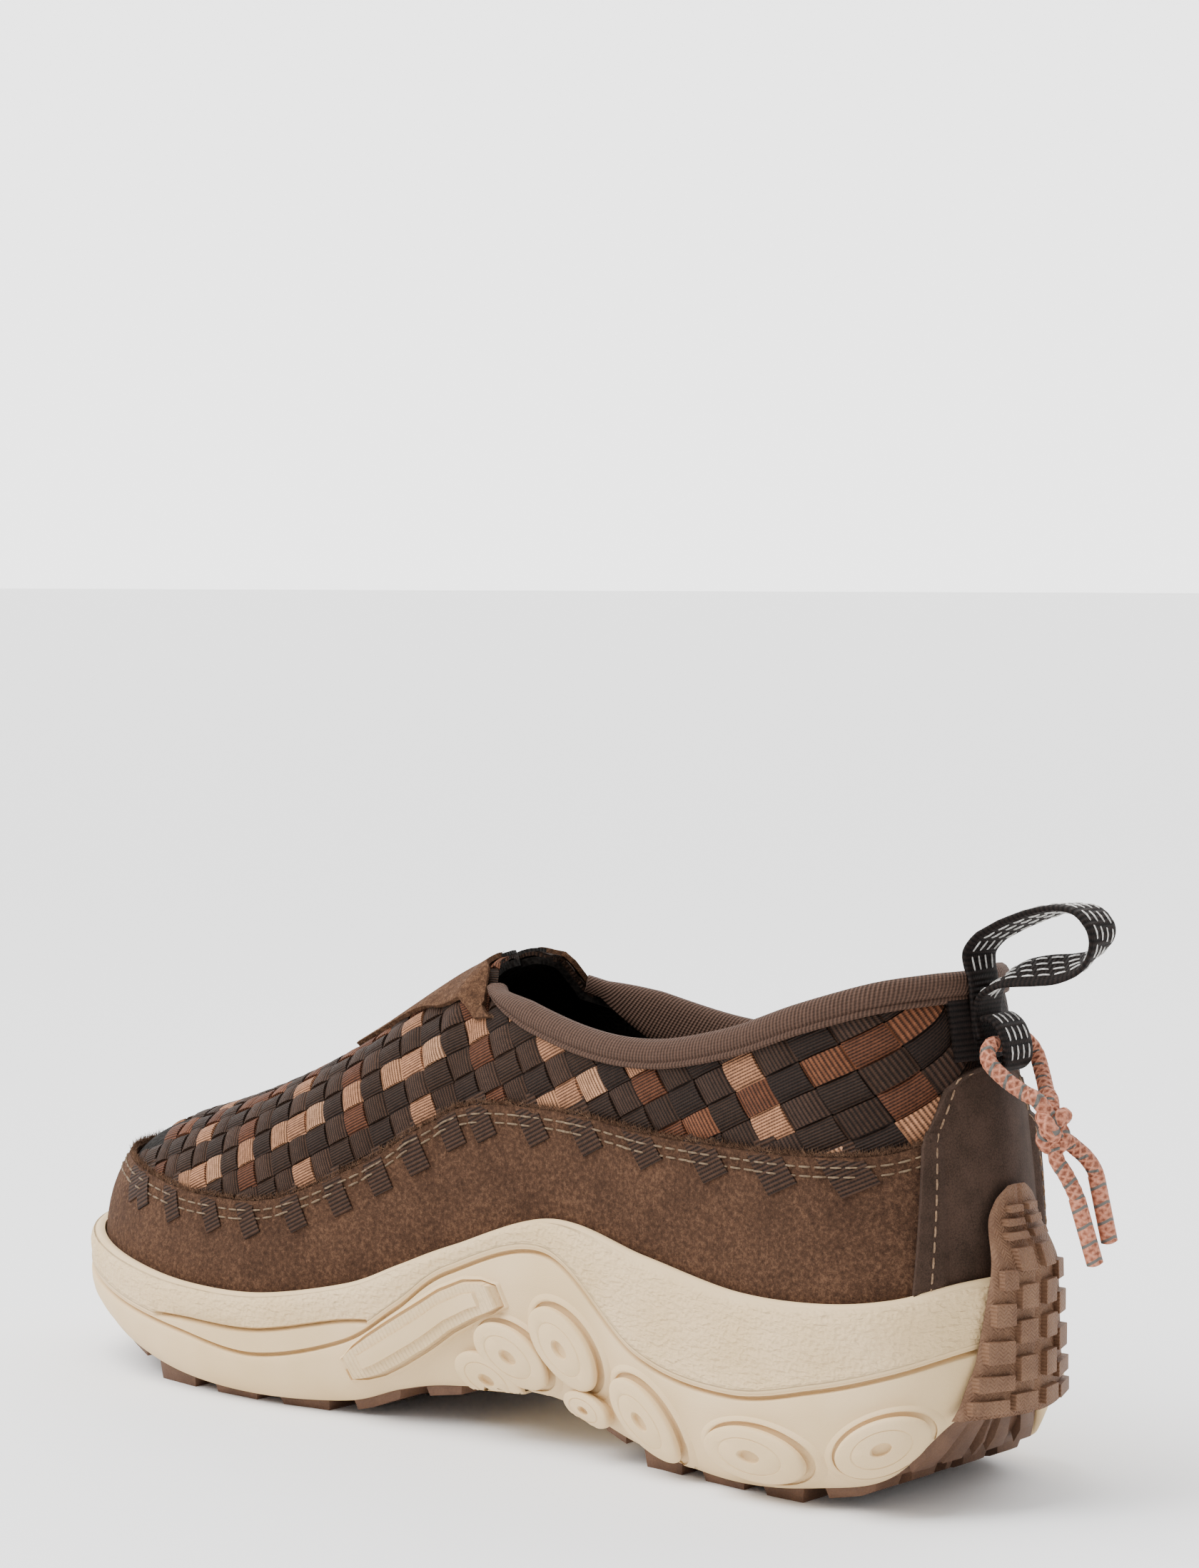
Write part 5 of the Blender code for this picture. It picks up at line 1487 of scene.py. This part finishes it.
def build_plate(tree):
    line = np.array(PLATE_LINE)
    even = spread(line * (SOLE_LENGTH, RIM_HEIGHT, MM), 60)
    plate_moat(tree, even)
    share = np.linspace(-1, 1, 21)
    for name, part, reach, rise, etched, finish, nodes in (
            ("side_plate_base", even, 1.0, 2.0, 0.25, "plate", ("side_plate",)),
            ("side_plate_bar", even[5:-5], 0.42, 2.7, 0.0, "foam", ())):
        profile = np.clip((1 - np.abs(share)) / 0.08, 0, 1) ** 0.4
        count = np.arange(len(part))
        ends = np.clip(np.minimum(count, count[::-1]) / 2, 0, 1) ** 0.5
        rows = []
        for index, (along, up, half) in enumerate(part):
            spots = []
            for value in share * half * reach:
                point, out, _ = side_frame(station_at(along + value * 0.5), 1)
                spots.append((point[0], point[1], up + value))
            lift = POD_CLEAR + (-1.6 + (rise + 1.6) * profile * ends[index]) * MM
            rows.append(on_wall(tree, np.array(spots), out, lift))
        piece = sheet(name, np.array(rows))
        face_out(piece)
        wall(piece, PLATE_WALL, -1)
        layer = piece.data.attributes.new("Grain", "FLOAT", "POINT")
        layer.data.foreach_set("value", np.full(len(piece.data.vertices), etched, np.float32))
        dress(piece, look(finish), nodes)


# Treads and heel wrap
def build_treads():
    for node_name in ("tread_forefoot", "tread_heel"):
        source = frame["nodes"][node_name]
        piece = bpy.data.objects.new("rubber_" + node_name, source.data.copy())
        bpy.context.scene.collection.objects.link(piece)
        edit(piece, lambda: bpy.ops.mesh.remove_doubles(threshold=0.00005),
             lambda: bpy.ops.mesh.dissolve_limited(angle_limit=math.radians(2.0)),
             recalculate)
        modify(piece, "BEVEL", width=0.0004, segments=2, limit_method="ANGLE",
               angle_limit=math.radians(35))
        modify(piece, "TRIANGULATE")
        dress(piece, look("rubber"), (node_name,), angle=35)


WRAP_SHAPE = (
    # height as a share of the rim height, half width as a share of the heel's
    (0.40, 0.420), (0.46, 0.385), (0.56, 0.350), (0.61, 0.325), (0.78, 0.290), (1.00, 0.250),
    (1.13, 0.205), (1.22, 0.175), (1.28, 0.130), (1.32, 0.055))
WRAP_WALL = 0.0012
WRAP_BLOCKS = (
    # across from and to, up from and to, all in mm; both sides of the middle groove
    (1.0, 5.2, 69.4, 70.9), (1.0, 6.6, 66.4, 68.0), (1.0, 7.6, 63.4, 65.0), (1.6, 6.6, 56.6, 61.6),
    (7.8, 11.6, 52.6, 57.0), (1.6, 6.8, 47.8, 53.4), (8.4, 13.6, 44.2, 49.4),
    (1.7, 7.2, 39.8, 45.2),
    (8.6, 15.4, 35.6, 40.8), (1.8, 7.0, 31.0, 36.8), (8.6, 17.6, 29.2, 32.8),
    (1.6, 8.4, 24.2, 28.2), (10.0, 19.0, 24.0, 27.2))


def heel_face(across, up):
    """Distance from the heel back to the outermost face at these places."""
    sole_along, sole_across = outline(np.linspace(0.0, 2.6, 105))
    along = np.interp(np.abs(across), sole_across, sole_along)
    profile = SHELL[0]
    lean = np.interp(up, profile[:, 2], profile[:, 0]) - 0.0023
    blend = np.clip((up - at("rim", 0.0)) / (0.24 * RIM_HEIGHT), 0, 1)
    blend = blend * blend * (3 - 2 * blend)
    return along + lean * blend - 0.0006


def build_wrap():
    shape = np.array(WRAP_SHAPE)
    up = np.linspace(shape[0, 0], shape[-1, 0], 90)
    half = np.interp(up, shape[:, 0], shape[:, 1])
    half[2:-2] = np.convolve(half, np.array([1, 2, 3, 2, 1]) / 9, "valid")
    share = np.linspace(-1, 1, 61)
    across = share[None] * half[:, None] * HALF
    height = np.broadcast_to(up[:, None] * RIM_HEIGHT, across.shape)
    groove = 0.5 * np.exp(-(across * 1000 / 0.7) ** 2)
    rim = 1 - 0.45 * np.clip((np.abs(share)[None] - 0.9) / 0.1, 0, 1) ** 2
    along = heel_face(across, height) - (1.6 * rim - groove) * MM
    piece = sheet("rubber_heel_wrap", np.stack([along, across, height], -1))
    face_out(piece)
    wall(piece, WRAP_WALL, -1)
    dress(piece, look("wrap rubber"), ("heel_wrap",))
    points, faces = template("cube", lambda: bpy.ops.mesh.bevel(offset=0.09, segments=1),
                             lambda: bpy.ops.mesh.quads_convert_to_tris(), size=2.0)
    placed = []
    for side in (-1, 1):
        for left, right, low, high in WRAP_BLOCKS:
            across = side * (0.5 * (left + right) + points[:, 1] * 0.5 * (right - left)) * MM
            height = (0.5 * (low + high) + points[:, 2] * 0.5 * (high - low)) * MM
            lift = (1.2 + (points[:, 0] * 0.5 + 0.5) * 2.2) * MM
            placed.append(np.stack([heel_face(across, height) - lift, across, height], 1))
    piece = stamped("rubber_wrap_blocks", faces, np.array(placed))
    edit(piece, recalculate)
    dress(piece, look("wrap rubber"), angle=30)


# Heel loops
PULL_REACH = 0.0360
LOOP_WALL = 0.0017
PULL_ARC = (
    (-0.055, 0.045, 4.0), (-0.061, 0.140, 8.0), (-0.180, 0.256, 10.0), (-0.375, 0.347, 10.0),
    (-0.556, 0.417, 8.0), (-0.736, 0.461, 4.0), (-0.889, 0.450, 0.0), (-0.989, 0.361, 0.0),
    (-0.994, 0.250, 8.0), (-0.903, 0.139, 22.0), (-0.736, 0.072, 30.0), (-0.556, 0.044, 32.0),
    (-0.361, 0.006, 26.0), (-0.236, -0.056, 14.0))
LEG_HEIGHTS = (-0.556, -0.422, -0.292)
CORD_ARC = ((-0.053, -0.290), (-0.110, -0.286), (-0.172, -0.339), (-0.194, -0.445),
            (-0.172, -0.545), (-0.118, -0.600), (-0.066, -0.610))


def heel_top():
    along, _, up = topline(np.array([0.0]))
    return float(along[0]), float(up[0]) + ROLL_SPACE


def face_from_top(up):
    along0, up0 = heel_top()
    return float(np.interp(up0 + up, SHELL[0, :, 2], SHELL[0, :, 0])) - along0


def pull_points():
    inner = 0.0003 + LOOP_WALL / 2
    outer = inner + LOOP_WALL + 0.0003
    roll_side = 0.0018 + inner
    low = [(face_from_top(PULL_REACH * h) - inner, PULL_REACH * h, 0.0) for h in LEG_HEIGHTS]
    middle = -ROLL_SPACE / 2
    past = [(-roll_side, middle, 0.0), (-roll_side, middle * 0.4, 0.0)]
    arc = [(PULL_REACH * a, PULL_REACH * b, c) for a, b, c in PULL_ARC]
    back = [(-roll_side - (outer - inner), middle * 1.6, 4.0)]
    down = [(face_from_top(PULL_REACH * h) - outer, PULL_REACH * h, 0.0)
            for h in LEG_HEIGHTS[:0:-1]]
    return low + past + arc + back + down


def cord_loop_points():
    outer = 1.5 * LOOP_WALL + 0.0006
    return [(face_from_top(PULL_REACH * b) - outer + PULL_REACH * a, PULL_REACH * b, 0.0)
            for a, b in CORD_ARC]


def smooth_path(points, count):
    """Even points on a smooth run through the given ones."""
    run = [np.array(p, dtype=float) for p in points]
    run = [2 * run[0] - run[1]] + run + [2 * run[-1] - run[-2]]
    fine = []
    for i in range(1, len(run) - 2):
        a, b, c, d = run[i - 1:i + 3]
        for f in np.linspace(0, 1, 12, endpoint=False):
            fine.append(between(a, b, c, d, f))
    return spread(np.array(fine + [run[-2]]), count - 1)


THREAD_ROWS = (-0.30, -0.10, 0.10, 0.30)


def build_loop(name, node_name, path, count, thread_from, thread_to):
    """A band of webbing along a path in the shoe's middle plane, with stitching."""
    along0, up0 = heel_top()
    width = sizes().webbing_width
    run = smooth_path(path, count)
    step = unit(np.gradient(run[:, :2], axis=0))
    flat = np.stack([step[:, 1], -step[:, 0]], 1)
    lean = np.sin(np.radians(run[:, 2]))[:, None]
    level = np.cos(np.radians(run[:, 2]))[:, None]

    def face(share, lift):
        share = np.asarray(share)[None]
        shift = share * width * lean
        along = along0 + run[:, :1] + flat[:, :1] * (shift + lift)
        up = up0 + run[:, 1:2] + flat[:, 1:2] * (shift + lift)
        return np.stack([along, share * width * level, up], -1)

    angle = np.linspace(0, math.tau, 25)
    share = 0.5 * np.sign(np.cos(angle)) * np.abs(np.cos(angle)) ** 0.35
    lift = LOOP_WALL * 0.5 * np.sign(np.sin(angle)) * np.abs(np.sin(angle)) ** 0.8
    points = np.stack([face([s], t)[:, 0] for s, t in zip(share, lift)], 1)
    length = walked(run[:, :2])[:, None] * 1000
    uv = np.stack(np.broadcast_arrays(length, share[None] * 11.0), -1)
    piece = sheet(name, points, uv=uv)
    close_ends(piece)
    dress(piece, look("loop webbing"), (node_name,), angle=60)
    first, last = int(thread_from * count), int(thread_to * count)
    for side in (-1, 1):
        for index, share in enumerate(THREAD_ROWS):
            path = face([share], side * LOOP_WALL * 0.5)[first:last, 0]
            out = face([share], side * (LOOP_WALL * 0.5 + 0.001))[first:last, 0] - path
            stitches("%s_thread_%s_%d" % (name, "in" if side < 0 else "out", index), path, out,
                     0.0034, 0.0012, 0.00022, look("bright thread"))


# Cord
CORD_MEDIAL = ((-0.0097, 0.0008, -0.0162), (-0.0097, 0.0062, -0.0163), (-0.0112, 0.0086, -0.0195),
               (-0.0150, 0.0076, -0.0232), (-0.0190, 0.0056, -0.0262), (-0.0222, 0.0042, -0.0282))
CORD_LATERAL = ((-0.0097, -0.0036, -0.0162), (-0.0097, -0.0076, -0.0163),
                (-0.0112, -0.0098, -0.0195), (-0.0144, -0.0080, -0.0240),
                (-0.0180, -0.0046, -0.0272), (-0.0210, -0.0022, -0.0290))
KNOT_PLACE = (-0.0240, 0.0010, -0.0345)
KNOT_SCALE = (0.00132, 0.00142, 0.00148)
TAIL_MEDIAL = ((-0.0248, 0.0010, -0.0412), (-0.0265, -0.0004, -0.0450), (-0.0282, -0.0022, -0.0500))
TAIL_LATERAL = ((-0.0262, -0.0033, -0.0386), (-0.0284, -0.0058, -0.0416),
                (-0.0298, -0.0076, -0.0452))
TIP_LENGTH = 0.0160
TIP_DIAMETER = 0.0040
TIP_LAP = 0.0006
BRAID_RELIEF = 0.00009


def tube(name, path, radius, uv_start=0.0, sides=16, relief=0.0):
    """A round tube on a path of shoe points, with closed ends. Relief raises the
    strands of the braid."""
    way = unit(np.gradient(path, axis=0))
    out = np.cross(way[0], [0.3, 1.0, 0.2])
    outs = []
    for direction in way:
        out = unit(out - np.dot(out, direction) * direction)
        outs.append(out)
    outs = np.array(outs)
    side = np.cross(way, outs)
    angle = np.linspace(0, math.tau, sides + 1)
    length = walked(path) * 1000
    climb = length[:, None] * math.tau / BRAID_RISE
    wave = np.maximum(*(np.sin(climb + way * angle[None] * BRAID_STRANDS) for way in (1, -1)))
    size = np.broadcast_to(np.asarray(radius)[..., None] if np.ndim(radius) else radius, wave.shape)
    size = size + relief * wave
    points = (path[:, None] + outs[:, None] * np.cos(angle)[None, :, None] * size[..., None]
              + side[:, None] * np.sin(angle)[None, :, None] * size[..., None])
    uv = np.stack(np.broadcast_arrays(angle[None] / math.tau, length[:, None] + uv_start), -1)
    piece = sheet(name, points, uv=uv)
    close_ends(piece)
    return piece


def build_cords():
    along0, up0 = heel_top()
    top = np.array([along0, 0.0, up0])
    radius = sizes().cord_diameter / 2
    knot = np.array(KNOT_PLACE)
    knot_piece = build_knot(top + knot, radius)
    strands = (("medial", CORD_MEDIAL, TAIL_MEDIAL, (-0.22, -0.18, -1.0)),
               ("lateral", CORD_LATERAL, TAIL_LATERAL, (-0.14, -0.16, -1.0)))
    for name, strand, tail, tip_way in strands:
        tip_way = np.array(tip_way) / np.linalg.norm(tip_way)
        tip_start = np.array(tail[-1]) + tip_way * 0.0009
        tip_end = tip_start + tip_way * TIP_LENGTH
        route = list(strand) + [tuple(knot)] + list(tail) + [tuple(tip_start + tip_way * 0.004),
                                                           tuple(tip_end - tip_way * 0.0015)]
        path = smooth_path(route, 150) + top
        piece = tube("braided_cord_" + name, path, radius * 0.96, relief=BRAID_RELIEF)
        dress(piece, look("cord"), ("cord_" + name, "tail_" + name), angle=80)
        share = np.linspace(0, 1, 40)
        tip_path = (top + tip_start - tip_way * TIP_LAP
                    + tip_way * (TIP_LENGTH + TIP_LAP) * share[:, None])
        swell = np.clip(np.minimum(share * 30 + 0.75, (1 - share) * 25 + 0.55), 0, 1)
        tip = tube("shrunk_tip_" + name, tip_path, TIP_DIAMETER / 2 * swell, uv_start=9.0)
        dress(tip, look("tips"), ("tip_" + name,), angle=60)
        tuple(world(path[0]))
        [tuple(p) for p in world(path[::3])]


def build_knot(centre, radius):
    """An overhand knot: the cord goes three times round in a trefoil."""
    t = np.linspace(0, math.tau, 181)
    trefoil = np.stack([np.sin(t) + 2 * np.sin(2 * t), np.cos(t) - 2 * np.cos(2 * t),
                        -1.15 * np.sin(3 * t)], 1)
    path = trefoil * KNOT_SCALE
    path = np.stack([path[:, 2] * 0.9, path[:, 0], path[:, 1]], 1) + centre
    piece = tube("cord_overhand_knot", path, radius * 0.98, relief=BRAID_RELIEF)
    return dress(piece, look("cord"), ("cord_knot",), angle=80)


# Studio
def build_stage():
    scene = bpy.context.scene
    camera = bpy.data.objects.new("camera", bpy.data.cameras.new("camera"))
    scene.collection.objects.link(camera)
    camera.data.sensor_fit = "AUTO"
    camera.data.sensor_width = 36.0
    camera.data.lens = 100.0
    camera.data.clip_start = 0.01
    camera.data.dof.use_dof = False
    camera.location = (0.5790 + SHIFT_ALONG, -0.8109 + SHIFT_ACROSS, 0.2596)
    camera.rotation_euler = (math.radians(90 - 5.263), 0.0, math.radians(41.252))
    scene.camera = camera
    deselect()
    bpy.ops.mesh.primitive_plane_add(size=40.0, location=(0, 0, 0))
    floor = bpy.context.object
    floor.name = "studio_floor"
    made, _, shader = finish_of("matt_white_paper", 0.9, specular=0.1)
    shader.inputs["Base Color"].default_value = (*sizes().floor_colour, 1.0)
    floor.data.materials.append(made)
    deselect()
    bpy.ops.mesh.primitive_plane_add(size=9.0, location=(-2.6, 3.5, 1.5),
                                     rotation=(math.radians(90), 0.0, math.radians(36.6)))
    backdrop = bpy.context.object
    backdrop.name = "studio_backdrop"
    glow, _, shader = finish_of("lit_white_backdrop", 0.9, specular=0.1)
    shader.inputs["Emission Color"].default_value = linear("#FFFFFF")
    shader.inputs["Emission Strength"].default_value = 1.9
    backdrop.data.materials.append(glow)
    world_made = bpy.data.worlds.new("studio")
    world_made.use_nodes = True
    background = world_made.node_tree.nodes["Background"]
    background.inputs[0].default_value = linear("#FFFFFF")
    background.inputs[1].default_value = 0.95
    scene.world = world_made
    lamps = (
        # name, kind, place, aim, size, power
        ("overhead", "SUN", (-0.35, -0.30, 1.0), (0.0, 0.0, 0.0), 0.8, 3.6),
        ("key", "AREA", (-0.45, -0.75, 0.75), (0.0, 0.0, 0.04), 0.5, 8.5),
        ("back", "AREA", (0.35, 0.75, 0.90), (0.0, 0.0, 0.06), 0.7, 4.0),
    )
    for name, kind, place, aim, size, power in lamps:
        data = bpy.data.lights.new(name, kind)
        if kind == "SUN":
            data.angle = size
        else:
            data.size = size
        data.energy = power
        lamp = bpy.data.objects.new(name, data)
        lamp.location = place
        way = Vector(aim) - Vector(place)
        lamp.rotation_euler = way.to_track_quat("-Z", "Y").to_euler()
        scene.collection.objects.link(lamp)


class ShoeOperator:
    """Shared settings of the shoe's operators."""

    bl_options = {"REGISTER", "UNDO"}


class WALKINGSHOE_OT_stage(ShoeOperator, bpy.types.Operator):
    """Add the camera, the pale floor and the soft studio light"""

    bl_idname = "walking_shoe.stage"
    bl_label = "Studio"

    def execute(self, context):
        build_stage()
        return {"FINISHED"}


class WALKINGSHOE_OT_cords(ShoeOperator, bpy.types.Operator):
    """Add the braided cord with its knot and tips"""

    bl_idname = "walking_shoe.cords"
    bl_label = "Cord"

    def execute(self, context):
        build_cords()
        return {"FINISHED"}


class WALKINGSHOE_OT_upper(ShoeOperator, bpy.types.Operator):
    """Add the lining and the woven webbing strips"""

    bl_idname = "walking_shoe.upper"
    bl_label = "Woven upper"

    def execute(self, context):
        build_lining()
        build_weave()
        return {"FINISHED"}


class WALKINGSHOE_OT_overlays(ShoeOperator, bpy.types.Operator):
    """Add the suede rand with its tabs and the nubuck heel counter"""

    bl_idname = "walking_shoe.overlays"
    bl_label = "Rand and counter"

    def execute(self, context):
        build_rand()
        build_rand_thread()
        build_tabs()
        build_counter()
        return {"FINISHED"}


class WALKINGSHOE_OT_instep(ShoeOperator, bpy.types.Operator):
    """Add the suede strips and the elastic gore on the instep"""

    bl_idname = "walking_shoe.instep"
    bl_label = "Instep"

    def execute(self, context):
        build_instep()
        return {"FINISHED"}


class WALKINGSHOE_OT_collar(ShoeOperator, bpy.types.Operator):
    """Add the padded collar and the patch under the loops"""

    bl_idname = "walking_shoe.collar"
    bl_label = "Collar"

    def execute(self, context):
        build_collar()
        return {"FINISHED"}


class WALKINGSHOE_OT_sole(ShoeOperator, bpy.types.Operator):
    """Add the foam midsole, its pods and plate, the treads and the heel wrap"""

    bl_idname = "walking_shoe.sole"
    bl_label = "Sole"

    def execute(self, context):
        tree = wall_tree(build_midsole())
        build_pods(tree)
        build_plate(tree)
        build_treads()
        build_wrap()
        frame["nodes"]["insole"].data.materials.clear()
        frame["nodes"]["insole"].data.materials.append(look("lining"))
        return {"FINISHED"}


class WALKINGSHOE_OT_loops(ShoeOperator, bpy.types.Operator):
    """Add the heel pull loop and the small cord loop"""

    bl_idname = "walking_shoe.loops"
    bl_label = "Heel loops"

    def execute(self, context):
        build_loop("webbing_pull_loop", "pull_loop", pull_points(), 170, 0.02, 0.97)
        build_loop("webbing_cord_loop", "cord_loop", cord_loop_points(), 50, 0.08, 0.92)
        return {"FINISHED"}


OPERATORS = (
    WALKINGSHOE_OT_stage, WALKINGSHOE_OT_cords, WALKINGSHOE_OT_upper, WALKINGSHOE_OT_overlays,
    WALKINGSHOE_OT_instep, WALKINGSHOE_OT_collar, WALKINGSHOE_OT_sole, WALKINGSHOE_OT_loops)


class WALKINGSHOE_PT_panel(bpy.types.Panel):
    """Lists the shoe's pieces and sizes in the sidebar"""

    bl_idname = "WALKINGSHOE_PT_panel"
    bl_label = "Walking shoe"
    bl_space_type = "VIEW_3D"
    bl_region_type = "UI"
    bl_category = "Shoe"

    def draw(self, context):
        layout = self.layout
        for key in ShoeSizes.__annotations__:
            layout.prop(context.scene.walking_shoe, key)
        for made in OPERATORS:
            layout.operator(made.bl_idname)


CLASSES = (ShoeSizes,) + OPERATORS + (WALKINGSHOE_PT_panel,)


def register():
    for made in CLASSES:
        bpy.utils.register_class(made)
    bpy.types.Scene.walking_shoe = bpy.props.PointerProperty(type=ShoeSizes)


def unregister():
    del bpy.types.Scene.walking_shoe
    for made in reversed(CLASSES):
        bpy.utils.unregister_class(made)


def main():
    register()
    bpy.ops.walking_shoe.stage()
    bpy.ops.walking_shoe.cords()
    bpy.ops.walking_shoe.upper()
    bpy.ops.walking_shoe.overlays()
    bpy.ops.walking_shoe.instep()
    bpy.ops.walking_shoe.collar()
    bpy.ops.walking_shoe.sole()
    bpy.ops.walking_shoe.loops()
    bpy.context.view_layer.update()


if __name__ == "__main__":
    main()
